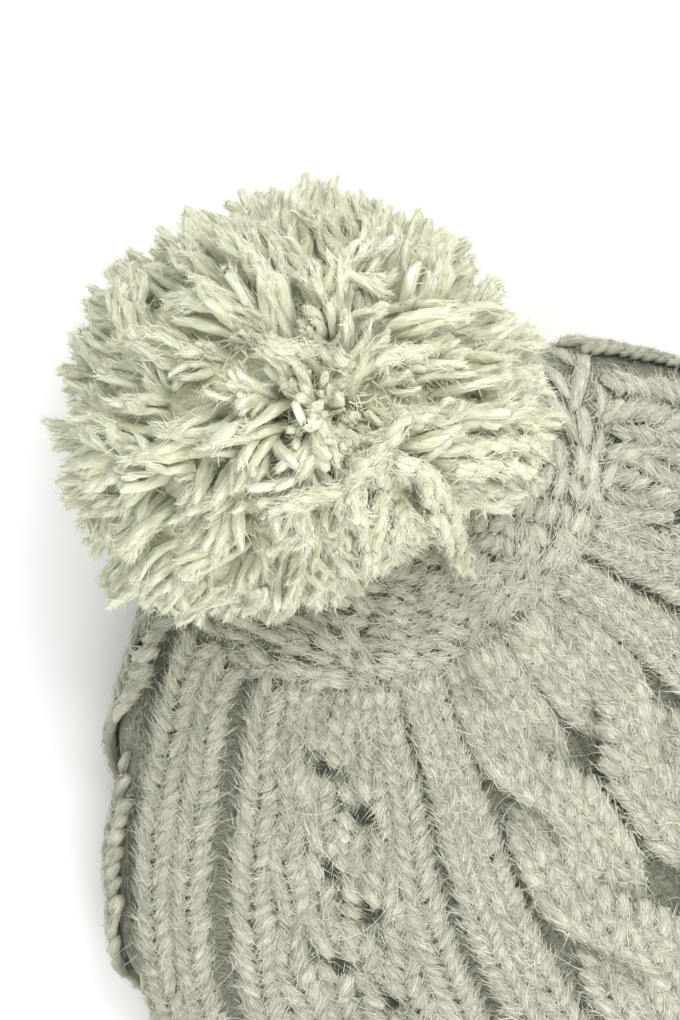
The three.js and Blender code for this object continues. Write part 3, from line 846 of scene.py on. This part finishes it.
# Ramps over the shade attribute. Between the ends lies the yarn's own colour; the darkest stops are painted
# shade for the gaps between the stitches, the eyelets and the pompom's inside, and the palest are painted
# light on crests and ends.
WOOL = yarn_material("wool", [
    (0.0, (0.035, 0.038, 0.025)),
    (0.35, (0.23, 0.235, 0.17)),
    (0.65, (0.43, 0.43, 0.33)),
    (1.0, (0.70, 0.69, 0.57)),
])
WOOL_FIBRE = fibre_material("wool_fibre", (0.29, 0.292, 0.215), (0.71, 0.70, 0.585))
BOBBLE = yarn_material("bobble_yarn", [
    (0.0, (0.35, 0.355, 0.21)),
    (0.35, (0.56, 0.57, 0.39)),
    (0.65, (0.71, 0.72, 0.54)),
    (1.0, (0.86, 0.86, 0.74)),
], along=0.14, round_about=0.6, bump=0.6, twist=1.2)
BOBBLE_FIBRE = fibre_material("bobble_fibre", (0.60, 0.605, 0.44), (0.86, 0.86, 0.735))


def backing_faces(index, index_in):
    """Faces of the outer skin, of the coarser inner one and of the rims between them."""
    nxt, nxt_in = np.roll(index, -1, 1), np.roll(index_in, -1, 1)
    skin = np.stack([index[:-1], index[1:], nxt[1:], nxt[:-1]], -1).reshape(-1, 4)
    lining = np.stack([index_in[:-1], nxt_in[:-1], nxt_in[1:], index_in[1:]], -1).reshape(-1, 4)
    rims = []
    for edge in (0, -1):
        near, middle, far = index[edge, ::2], index[edge, 1::2], np.roll(index[edge, ::2], -1)
        inner, inner_next = index_in[edge], nxt_in[edge]
        corners = ((near, middle, inner), (middle, inner_next, inner), (middle, far, inner_next))
        ring = np.concatenate([np.stack(c, -1) for c in corners])
        rims.append(ring if edge == 0 else ring[:, ::-1])
    return [np.concatenate([skin, lining]), np.concatenate(rims)]


def backing(name, node, low, high, rows, columns, wall):
    """The fabric behind the stitches, one closed wall with its inner face and its open rim."""
    s, t = np.meshgrid(np.linspace(low, high, rows), np.arange(columns) / columns, indexing="ij")
    outer = on_hat(s, t, backing_height(s, t) - BACKING_SINK)
    s_in, t_in = s[::2, ::2], t[::2, ::2]
    ribs = 0.7 * np.cos(2 * math.pi * BAND_RIBS * t_in) if node == "rib_band" else 0.0
    inner = on_hat(s_in, t_in, ribs + RNG.normal(0, 0.15, s_in.shape) - wall)
    points = np.concatenate([outer.reshape(-1, 3), inner.reshape(-1, 3)])
    index = np.arange(s.size).reshape(s.shape)
    index_in = np.arange(s_in.size).reshape(s_in.shape) + s.size
    uv = np.stack([s * BODY_LENGTH * 2, t * 400], -1)
    uv = np.concatenate([uv.reshape(-1, 2), uv[::2, ::2].reshape(-1, 2)])
    # Painted shade: the outer skin, seen only in the gaps between the stitches, is near-black; the inner face
    # is mid-toned.
    shade = np.concatenate([np.full(s.size, 0.05), np.full(s_in.size, 0.55)])
    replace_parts(mesh_object(name, points, backing_faces(index, index_in), WOOL, uv, shade), node)


def knitted(name, stitches, parts=1):
    """Meshes of the stitches, split so that none is too large."""
    packed = stitches.packed()
    for part in range(parts):
        points, faces, uv, shade = lobe_mesh([column[part::parts] for column in packed])
        mesh_object(f"{name}_{part + 1}" if parts > 1 else name, points, faces, WOOL, uv, shade)
    return packed


def eyelets():
    """Openings of the lace, each a shallow funnel in the fabric, coloured near-black as painted shade in the
    hole.
    """
    sides = 10
    angle = circle(sides)
    share, turn = EYELETS[:, :1], EYELETS[:, 1:]
    rings = []
    for radius, rise, _ in EYELET_RINGS:
        s, t = stepped(share, turn, radius * np.cos(angle), 1.15 * radius * np.sin(angle))
        rings.append(on_hat(s, t, backing_height(s, t) - BACKING_SINK + rise))
    points = np.stack(rings, 1).reshape(-1, 3)
    base = (np.arange(len(EYELETS)) * len(EYELET_RINGS) * sides)[:, None, None]
    quads = (ring_quads(len(EYELET_RINGS), sides) + base).reshape(-1, 4)
    shade = np.tile(np.repeat([shade for _, _, shade in EYELET_RINGS], sides), len(EYELETS))
    mesh_object("eyelets", points, [quads], WOOL, points[:, :2].copy(), shade)


def hat():
    """All the pieces of the knitted hat, from the fabric outwards."""
    eyelets()
    backing("knit_backing", "knit_body", 0.012, 1.0, 91, 216, WALL)
    backing("band_backing", "rib_band", 1.0, BAND_END, 19, 240, BAND_WALL)
    body = knitted("body_stitches", body_stitches(), 2)
    crown = knitted("crown_stitches", crown_stitches())
    band = knitted("band_stitches", band_stitches())
    knitted("inner_stitches", inner_stitches())
    for part in (1, 2):
        fuzz_object(f"body_fuzz_{part}", stitch_fibres(body, 97000, 4.2, 0.26), WOOL_FIBRE)
    fuzz_object("ground_fuzz_1", ground_fibres(44000, 0.02, 1.0, 3.6, 0.35), WOOL_FIBRE)
    fuzz_object("ground_fuzz_2", ground_fibres(8000, 1.0, BAND_END, 3.6, 0.35), WOOL_FIBRE)
    fuzz_object("inner_fuzz", ground_fibres(12000, 0.72, BAND_END, 4.2, 0.3, -1), WOOL_FIBRE)
    stray_hairs(500, 0.1, BAND_END)
    # The crown's fibres start at shade 0.5, as painted light against the pompom's shadow.
    fuzz_object("crown_fuzz", stitch_fibres(crown, 20000, 3.8, 0.3, 0.5), WOOL_FIBRE)
    fuzz_object("band_fuzz", stitch_fibres(band, 32000, 4.2, 0.3), WOOL_FIBRE)


# The photograph's frame: its scale, and the pixel at which the middle of the crown lies
IMAGE_WIDTH, IMAGE_HEIGHT = 680, 1020
IMAGE_RIGHT = np.array([0.5, 0.866, 0.0])
IMAGE_UP = np.array([-0.866, 0.5, 0.0])
IMAGE_AXES = np.stack([IMAGE_RIGHT, IMAGE_UP, [0, 0, 1]])  # right, up and towards the eye
PIXEL = 0.2385  # millimetres, at the hat's upper face
CROWN_PIXEL = (400, 490)
CAMERA_HEIGHT = 1150.0
FACE_HEIGHT = 44.0

# The pompom, in millimetres
POMPOM_RADIUS = POMPOM_DIAMETER / 2
POMPOM_MIDDLE = np.array([-POMPOM_BACK, POMPOM_SIDE, POMPOM_RADIUS + 1.5])
STRANDS = 2750
LOCKS = 520
STRAND_SHARES = np.array([0.0, 0.35, 0.62, 0.82, 0.94, 1.0])[None, :, None]
STRAND_RINGS = STRAND_SHARES.size
STRAND_SIDES = 5
STRAND_RADIUS = 1.55
STRAND_LENGTH = 19.0  # of what stands out of the matted inside
CORE_SHARE = 0.84  # the matted inside's radius over the pompom's
PARTING = unit(np.array([0.03, 0.02, 1.0])) @ IMAGE_AXES  # where the locks part
TUFT = unit(np.array([-0.2, -0.07, 0.98])) @ IMAGE_AXES  # the raised tuft, with a valley above it
MOUND = unit(np.array([-0.08, -0.12, 0.99])) @ IMAGE_AXES  # where the yarn's ends face up
# How far the locks are swept away from the parting: angle from it, and lean off the upright, in degrees
SWEEP = np.array([[0, 12], [14, 30], [35, 50], [60, 48], [85, 38], [115, 38], [160, 20], [180, 0]])
# Its outline about its middle: angle from the picture's right, in degrees, and reach over its radius
POMPOM_OUTLINE = np.array([
    [-180, 0.99], [-165, 1.02], [-146, 1.04], [-128, 1.03], [-107, 0.83], [-90, 0.75], [-70, 0.70],
    [-52, 0.69], [-33, 0.75], [-18, 0.89], [0, 0.94], [15, 0.94], [45, 0.88], [90, 0.88],
    [115, 0.88], [135, 0.93], [165, 0.98], [180, 0.99],
])
LOOSE_RADIUS = 1.3
LOOSE_TURN = 11.0  # length of one twist of a loose strand's two plies
# Loose strands that lie over the pompom and the crown, as places in the picture
LOOSE_STRANDS = [
    [[350, 500], [352, 516], [362, 538], [366, 556], [374, 574]],
    [[416, 396], [402, 428], [378, 458], [354, 476], [348, 504]],
    [[398, 462], [422, 470], [444, 488], [456, 512], [452, 530]],
    [[384, 468], [380, 500], [378, 530], [370, 566]],
    [[404, 470], [409, 500], [402, 528], [392, 548]],
    [[424, 472], [434, 506], [446, 540], [462, 574]],
    [[448, 500], [458, 526], [458, 550], [467, 576]],
    [[456, 470], [492, 466], [516, 470], [540, 479]],
    [[470, 452], [500, 446], [524, 449], [548, 441]],
    [[280, 508], [312, 498], [346, 480], [388, 456]],
    [[378, 368], [402, 352], [430, 350], [452, 338]],
    [[346, 364], [322, 350], [296, 350], [262, 344]],
    [[262, 590], [256, 600], [248, 612]],
]


def spread_over(count, jitter=0.0):
    """Unit vectors spread evenly round a ball."""
    i = np.arange(count)
    height = 1 - 2 * (i + 0.5) / count
    turn = i * math.pi * (3 - math.sqrt(5))
    flat = np.sqrt(1 - height**2)
    vectors = np.stack([flat * np.cos(turn), flat * np.sin(turn), height], 1)
    vectors += RNG.normal(0, jitter, vectors.shape)
    return unit(vectors)


def outline_reach(points):
    """The pompom's reach over its radius, in each point's direction in the picture."""
    angle = np.degrees(np.arctan2(points @ IMAGE_UP, points @ IMAGE_RIGHT))
    return np.interp(angle, *POMPOM_OUTLINE.T)[..., None]


def height_map(points, low, step, size):
    """A function that looks up the greatest height of the points at a place, on a grid of cells."""
    height = np.full((size, size), -50.0)
    cell = ((points[:, :2] - low) / step).astype(int)
    inside = ((cell >= 0) & (cell < size)).all(1)
    np.maximum.at(height, (cell[inside, 0], cell[inside, 1]), points[inside, 2])

    def look_up(place):
        at = np.clip(((place[..., :2] - low) / step).astype(int), 0, size - 1)
        return height[at[..., 0], at[..., 1]]

    return look_up


def hat_top():
    """Height of the hat's upper face, for the strands that lie on it."""
    s, t = np.meshgrid(np.linspace(0.0, 0.9, 400), np.arange(1200) / 1200, indexing="ij")
    return height_map(on_hat(s, t, 1.5 + 0 * s).reshape(-1, 3), np.array([-40.0, -110.0]), 1.5, 150)


HAT_TOP = hat_top()


def strand_lines():
    """The strands' middle lines, how far each is on the mound, and the shade of each one's lock."""
    heading = spread_over(STRANDS, 0.05)
    locks = heading[RNG.permutation(STRANDS)[:LOCKS]]
    nearest = np.argmax(heading @ locks.T, 1)
    mound = smooth(heading @ MOUND, 0.94, 0.985)
    gather = (0.55 - 0.35 * mound)[:, None]
    tip_heading = unit(heading * (1 - gather) + locks[nearest] * gather + RNG.normal(0, 0.02, (STRANDS, 3)))
    swept = np.clip(tip_heading @ PARTING, -1, 1)
    lean = np.interp(np.degrees(np.arccos(swept)), *SWEEP.T)
    lean = np.radians(lean + RNG.normal(0, 14, LOCKS)[nearest] + RNG.normal(0, 7, STRANDS))[:, None]
    aside = (RNG.normal(0, 0.5, LOCKS)[nearest] + RNG.normal(0, 0.2, STRANDS))[:, None]
    away = unit(swept[:, None] * tip_heading - PARTING)
    flow = np.cos(aside) * away + np.sin(aside) * np.cross(tip_heading, away)
    going = np.cos(lean) * tip_heading + np.sin(lean) * flow
    tip = strand_tips(tip_heading, nearest)
    length = (STRAND_LENGTH * RNG.uniform(0.85, 1.15, STRANDS))[:, None]
    bend = tip - going * length * 0.5
    root = tip - going * length * 0.7 - tip_heading * length * 0.5
    q = STRAND_SHARES
    line = (1 - q) ** 2 * root[:, None] + 2 * q * (1 - q) * bend[:, None] + q**2 * tip[:, None]
    wave = np.sin(q * RNG.uniform(4, 9, (STRANDS, 1, 1)) + RNG.uniform(0, 6.28, (STRANDS, 1, 1)))
    line = line + wave * RNG.normal(0, 1.2, (STRANDS, 1, 3)) * q
    shade = RNG.normal(0, 0.09, LOCKS)[nearest]
    kept = ~(line[..., 2] < HAT_TOP(line) - 20).any(1)
    return laid(line[kept]), mound[kept], shade[kept]


def strand_tips(heading, lock):
    """Where the strands end, on the pompom's uneven face."""
    reach = 0.99 + RNG.normal(0, 0.04, LOCKS)[lock] + RNG.normal(0, 0.014, STRANDS)
    ring = np.arccos(np.clip(heading @ TUFT, -1, 1))
    upper = smooth(heading @ (IMAGE_UP + 0.5 * IMAGE_RIGHT), -0.25, 0.1)
    reach += 0.03 * (1 - smooth(ring, 0.25, 0.4)) - 0.1 * upper * np.exp(-(((ring - 0.44) / 0.11) ** 2))
    tip = heading * (POMPOM_RADIUS * reach.clip(0.84, 1.05))[:, None]
    tip[:, :2] *= outline_reach(tip)
    return tip + POMPOM_MIDDLE


def laid(line):
    """Strands over the hat or the floor, kept out of both."""
    line = line.copy()
    line[..., 2] = np.maximum(line[..., 2], np.maximum(HAT_TOP(line) + 1.2, 1.6))
    return line


def tube_frames(line):
    """Directions along a line, and the two square to it."""
    along = unit(np.gradient(line, axis=-2))
    helper = np.where(np.abs(along[..., 2:]) < 0.9, [0.0, 0.0, 1.0], [1.0, 0.0, 0.0])
    side = unit(np.cross(along, helper))
    return side, np.cross(along, side)


def rings_round(line, side, up, angle, radius):
    """Rings of points round a line's points."""
    around = np.cos(angle)[:, None] * side[..., None, :] + np.sin(angle)[:, None] * up[..., None, :]
    return line[..., None, :] + radius[..., None] * around


def strand_mesh(line, on_mound, lock_shade):
    """Twisted strands of two plies, with points, faces, yarn coordinates and shade."""
    count = len(line)
    q = STRAND_SHARES
    angle = circle(STRAND_SIDES)
    twist = RNG.uniform(0, 6.28, (count, 1, 1)) + 5.5 * q
    full = on_mound[:, None, None]
    taper = (1 - (0.3 - 0.15 * full) * smooth(q, 0.6, 1.0)) * np.interp(q, [0.93, 1.0], [1.0, 0.62])
    taper = STRAND_RADIUS * taper * RNG.uniform(0.8, 1.2, (count, STRAND_RINGS, 1))
    uneven = RNG.uniform(0.85, 1.15, (count, STRAND_RINGS, STRAND_SIDES))
    plies = 1 + 0.14 * np.cos(2 * (angle - twist))
    radius = RNG.uniform(0.75, 1.15, (count, 1, 1)) * taper * uneven * plies
    ring = rings_round(line, *tube_frames(line), angle, radius)
    ring[..., 2] = np.maximum(ring[..., 2], FLOOR_GAP)
    tip = line[:, -1] + unit(line[:, -1] - line[:, -2]) * 0.4
    points = np.concatenate([ring.reshape(count, -1, 3), line[:, :1], tip[:, None]], 1)
    chance = RNG.uniform(0, 1000, (count, 1))
    flat = np.zeros((count, STRAND_RINGS, STRAND_SIDES))
    first, last = np.zeros((count, 1)), np.ones((count, 1))
    u = np.concatenate([(flat + q * STRAND_LENGTH).reshape(count, -1), first, last * STRAND_LENGTH], 1)
    v = np.concatenate([(flat + angle * 1.5 - q * 8).reshape(count, -1), np.full((count, 2), 0.7)], 1)
    # Painted shade and light: each strand darkens towards its root inside the pompom, with a dark root end,
    # and pales to its tip; the ends on the mound, which face up, are painted lighter. lock_shade is each
    # lock's own random tone.
    ends = 0.45 + 0.33 * smooth(q, 0.3, 1.0) + 0.1 * full + RNG.normal(0, 0.06, (count, 1, 1))
    ends = ends + lock_shade[:, None, None]
    shade = np.concatenate([(flat + ends).reshape(count, -1), first + 0.1, last], 1)
    faces = lobe_faces(count, STRAND_RINGS, STRAND_SIDES)
    uv = np.stack([(u + chance).ravel(), (v + chance).ravel()], 1)
    return points.reshape(-1, 3), faces, uv, shade.ravel()


def strand_fibres(line, count):
    """Loose fibres along the strands, shorter at the ends."""
    pick = RNG.integers(0, len(line), count)
    at = (1 - 0.75 * RNG.random(count) ** 1.1) * (STRAND_RINGS - 1)
    low = np.minimum(at.astype(int), STRAND_RINGS - 2)
    share = at[:, None] / (STRAND_RINGS - 1)
    a, b = line[pick, low], line[pick, low + 1]
    along = unit(b - a)
    around = unit(np.cross(along, RNG.normal(0, 1, (count, 3))))
    root = a + (b - a) * (at - low)[:, None] + around * (1.5 - 0.7 * smooth(share, 0.5, 1.0))
    aside = around * RNG.uniform(-0.2, 0.3, (count, 1))
    heading = unit(along + aside + RNG.normal(0, 0.36, (count, 3)))
    reach = RNG.uniform(2.4, 5.4, (count, 1)) * (1 - 0.66 * smooth(share, 0.6, 1.0))
    half_width = unit(np.cross(heading, around)) * RNG.uniform(0.08, 0.19, (count, 1))
    return blades(root, half_width, root + heading * reach, RNG.uniform(0, 1, (count, 1)))


def core_points(rows, columns):
    """The matted inside of the pompom, with a dimple where the locks part."""
    down = np.linspace(0.02, math.pi - 0.02, rows)
    a, b = np.meshgrid(down, circle(columns), indexing="ij")
    out = np.stack([np.sin(a) * np.cos(b), np.sin(a) * np.sin(b), np.cos(a)], -1)
    apart = np.arccos(np.clip(out @ PARTING, -1, 1))
    lumps = 0.03 * np.sin(9 * b + 3 * a) * np.sin(11 * a)
    reach = POMPOM_RADIUS * (CORE_SHARE + lumps - 0.06 * np.exp(-((apart / 0.5) ** 2)))
    points = out * reach[..., None]
    points[..., :2] *= outline_reach(points)
    return a, b, (points + POMPOM_MIDDLE).reshape(-1, 3)


def core_fibres(count):
    """Broad matted fibres that lie on the pompom's inside, between the strands."""
    heading = spread_over(count, 0.03)
    root = heading * POMPOM_RADIUS * (CORE_SHARE + 0.005)
    root[:, :2] *= outline_reach(heading)
    root += POMPOM_MIDDLE
    along = unit(np.cross(heading, RNG.normal(0, 1, (count, 3))))
    tip = root + along * RNG.uniform(3, 6, (count, 1)) + heading * RNG.uniform(0.3, 1.2, (count, 1))
    half_width = unit(np.cross(heading, along)) * RNG.uniform(0.12, 0.3, (count, 1))
    # Painted shade: these fibres keep to the darker half of the ramp, like the core beneath them.
    points, faces, shade = blades(root, half_width, tip, RNG.uniform(0, 0.5, (count, 1)))
    return laid(points), faces, shade


def pompom_core():
    """The dense middle of the pompom, where the strands hide it."""
    rows, columns = 40, 72
    a, b, points = core_points(rows, columns)
    points[:, 2] = np.maximum(np.maximum(points[:, 2], HAT_TOP(points) + 0.9), 3.0)
    index = np.arange(rows * columns).reshape(rows, columns)
    caps = [index[0][None], index[-1][::-1][None]]
    nxt = np.roll(index, -1, 1)
    quads = np.stack([index[:-1], index[1:], nxt[1:], nxt[:-1]], -1).reshape(-1, 4)
    uv = np.stack([a.ravel() * 30, b.ravel() * 20], 1)
    # Painted shade: the core sits near the darkest stop, so that gaps between the strands read as depth.
    shade = np.full(rows * columns, 0.05)
    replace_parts(mesh_object("pompom_core", points, [quads, *caps], BOBBLE, uv, shade), "pompom")


def pompom_top(line):
    """Height of the strands, for the loose ones that lie on them."""
    dense = np.concatenate([line[:, 1:], 0.5 * (line[:, 1:] + line[:, :-1])], 1).reshape(-1, 3)
    return height_map(dense, np.array([-110.0, -90.0]), 3.0, 60)


def picture_place(pixels, height):
    """Where a place in the picture is, at a height."""
    scale = PIXEL * (CAMERA_HEIGHT - height) / (CAMERA_HEIGHT - FACE_HEIGHT)
    across = (pixels[:, 0] - IMAGE_WIDTH / 2) * scale + (IMAGE_WIDTH / 2 - CROWN_PIXEL[0]) * PIXEL
    up = (IMAGE_HEIGHT / 2 - pixels[:, 1]) * scale + (CROWN_PIXEL[1] - IMAGE_HEIGHT / 2) * PIXEL
    place = across[:, None] * IMAGE_RIGHT + up[:, None] * IMAGE_UP
    place[:, 2] = height
    return place


def loose_line(route, top):
    """One loose strand's middle line, laid on what carries it."""
    route = np.array(route, float)
    walked = np.concatenate([[0], np.cumsum(np.linalg.norm(np.diff(route, axis=0), axis=1))])
    count = int(walked[-1] * PIXEL) + 2
    share = np.linspace(0, walked[-1], count)
    pixels = np.stack([np.interp(share, walked, route[:, k]) for k in (0, 1)], 1)
    for _ in range(4):
        pixels[1:-1] = (pixels[:-2] + pixels[1:-1] + pixels[2:]) / 3
    height = np.full(count, 90.0)
    for _ in range(3):
        place = picture_place(pixels, height)
        height = np.maximum(top(place) + 1.0, HAT_TOP(place) + 4.0)
        height = np.convolve(np.pad(height, 3, mode="edge"), np.full(7, 1 / 7), "valid") + 1.0
    line = picture_place(pixels, height)
    wave = np.cumsum(RNG.normal(0, 0.25, (count, 3)), 0)
    return line + wave - np.linspace(0, 1, count)[:, None] * wave[-1]


def twisted_ply(line, start, angle):
    """Rings of points of one of the plies that are twisted round a line."""
    count = len(line)
    side, up = tube_frames(line)
    turn = (2 * math.pi * np.arange(count) / LOOSE_TURN + start)[:, None]
    taper = np.interp(np.arange(count), [0, 1, count - 3, count - 1], [0.6, 1, 1, 0.35])
    middle = line + LOOSE_RADIUS * 0.6 * (np.cos(turn) * side + np.sin(turn) * up)
    radius = (LOOSE_RADIUS * taper * RNG.uniform(0.9, 1.1, count))[:, None]
    return rings_round(middle, side, up, angle, radius)


def loose_strands(strands):
    """Strands of two plies each, with flat ends, laid on the others. It gives back their middle lines."""
    top = pompom_top(strands)
    sides = 6
    angle = circle(sides)
    fan = np.arange(sides - 2)
    points, faces, uv, first, lines = [], [], [], 0, []
    for route in LOOSE_STRANDS:
        line = loose_line(route, top)
        count = len(line)
        end = (count - 1) * sides
        start = RNG.uniform(0, 6)
        for ply in (0, math.pi):
            points.append(twisted_ply(line, start + ply, angle).reshape(-1, 3))
            faces.append(ring_quads(count, sides) + first)
            faces.append(np.stack([0 * fan, fan + 2, fan + 1], 1) + first)
            faces.append(np.stack([0 * fan, fan + 1, fan + 2], 1) + end + first)
            at, round_about = np.meshgrid(np.arange(count), angle * 1.5 + ply * 20, indexing="ij")
            uv.append(np.stack([at.ravel(), round_about.ravel()], 1))
            first += count * sides
        lines.append(line)
    points = np.concatenate(points)
    shade = np.full(len(points), 0.62)
    mesh_object("pompom_loose_strands", points, faces, BOBBLE, np.concatenate(uv), shade)
    return lines


def loose_fibres(lines):
    """Fibres all along the loose strands."""
    roots, headings = [], []
    for line in lines:
        pick = RNG.integers(0, len(line) - 1, 24 * len(line))
        along = unit(line[pick + 1] - line[pick])
        around = unit(np.cross(along, RNG.normal(0, 1, (len(pick), 3))))
        sign = RNG.choice([-1.0, 1.0], (len(pick), 1))
        roots.append(line[pick] + RNG.random((len(pick), 1)) * along + around * 1.7 * LOOSE_RADIUS)
        headings.append(unit(along * sign + around * 0.1 + RNG.normal(0, 0.3, (len(pick), 3))))
    root, heading = np.concatenate(roots), np.concatenate(headings)
    count = len(root)
    half_width = unit(np.cross(heading, RNG.normal(0, 1, (count, 3)))) * RNG.uniform(0.06, 0.14, (count, 1))
    tip = root + heading * RNG.uniform(2.0, 4.5, (count, 1))
    return blades(root, half_width, tip, RNG.uniform(0.2, 1, (count, 1)))


def pompom():
    """All the pieces of the pompom, and the finish of its tie."""
    strands, on_mound, lock_shade = strand_lines()
    pompom_core()
    for half in (0, 1):
        points, faces, uv, shade = strand_mesh(strands[half::2], on_mound[half::2], lock_shade[half::2])
        mesh_object(f"pompom_yarn_{half + 1}", points, faces, BOBBLE, uv, shade)
    fuzz_object("loose_fuzz", loose_fibres(loose_strands(strands)), BOBBLE_FIBRE)
    fuzz_object("core_fuzz", core_fibres(9000), BOBBLE_FIBRE)
    fuzz_object("pompom_fuzz", strand_fibres(strands, 126000), BOBBLE_FIBRE)
    bpy.data.objects["pompom_tie"].material_slots[0].material = BOBBLE


def camera():
    """The photograph's view, straight down."""
    across = (IMAGE_WIDTH / 2 - CROWN_PIXEL[0]) * PIXEL
    up = (CROWN_PIXEL[1] - IMAGE_HEIGHT / 2) * PIXEL
    target = IMAGE_RIGHT * across + IMAGE_UP * up
    place = (np.array([target[0], target[1], CAMERA_HEIGHT]) + OFFSET) * MM
    data = bpy.data.cameras.new("camera")
    data.sensor_fit = "VERTICAL"
    data.sensor_height = 36
    data.lens = data.sensor_height * (CAMERA_HEIGHT - FACE_HEIGHT) / (IMAGE_HEIGHT * PIXEL)
    data.clip_end = 20
    obj = bpy.data.objects.new("camera", data)
    bpy.context.scene.collection.objects.link(obj)
    right = Vector(IMAGE_RIGHT).normalized()
    upward = Vector(IMAGE_UP).normalized()
    turn = Matrix((right, upward, right.cross(upward))).transposed()
    obj.matrix_world = Matrix.Translation(Vector(place)) @ turn.to_4x4()
    bpy.context.scene.camera = obj


def floor():
    material, tree = new_material("floor")
    shader_of(tree, Base_Color=(0.93, 0.93, 0.93, 1), Roughness=0.9)
    mesh = bpy.data.meshes.new("floor")
    mesh.from_pydata([(-6, -6, 0), (6, -6, 0), (6, 6, 0), (-6, 6, 0)], [], [(0, 1, 2, 3)])
    mesh.materials.append(material)
    obj = bpy.data.objects.new("floor", mesh)
    bpy.context.scene.collection.objects.link(obj)


def area_light(name, right, up, height, size, watts):
    """A round light over a place in the picture, in metres, that faces the model's middle."""
    flat = IMAGE_RIGHT * right + IMAGE_UP * up
    place = Vector((flat[0], flat[1], height))
    data = bpy.data.lights.new(name, "AREA")
    data.shape = "DISK"
    data.size = size
    data.energy = watts
    obj = bpy.data.objects.new(name, data)
    obj.location = place
    obj.rotation_euler = (-place).to_track_quat("-Z", "Y").to_euler()
    bpy.context.scene.collection.objects.link(obj)


def lights():
    """Soft studio light, with no tone curve over it."""
    world = bpy.data.worlds.new("studio")
    world.use_nodes = True
    background = world.node_tree.nodes["Background"]
    background.inputs["Color"].default_value = (1, 1, 1, 1)
    background.inputs["Strength"].default_value = 0.9
    bpy.context.scene.world = world
    area_light("key", 0.45, 0.8, 1.2, 1.0, 12.5)
    area_light("fill", 0.3, -0.9, 0.9, 1.2, 10)
    bpy.context.scene.view_settings.view_transform = "Standard"


hat()
pompom()
camera()
floor()
lights()
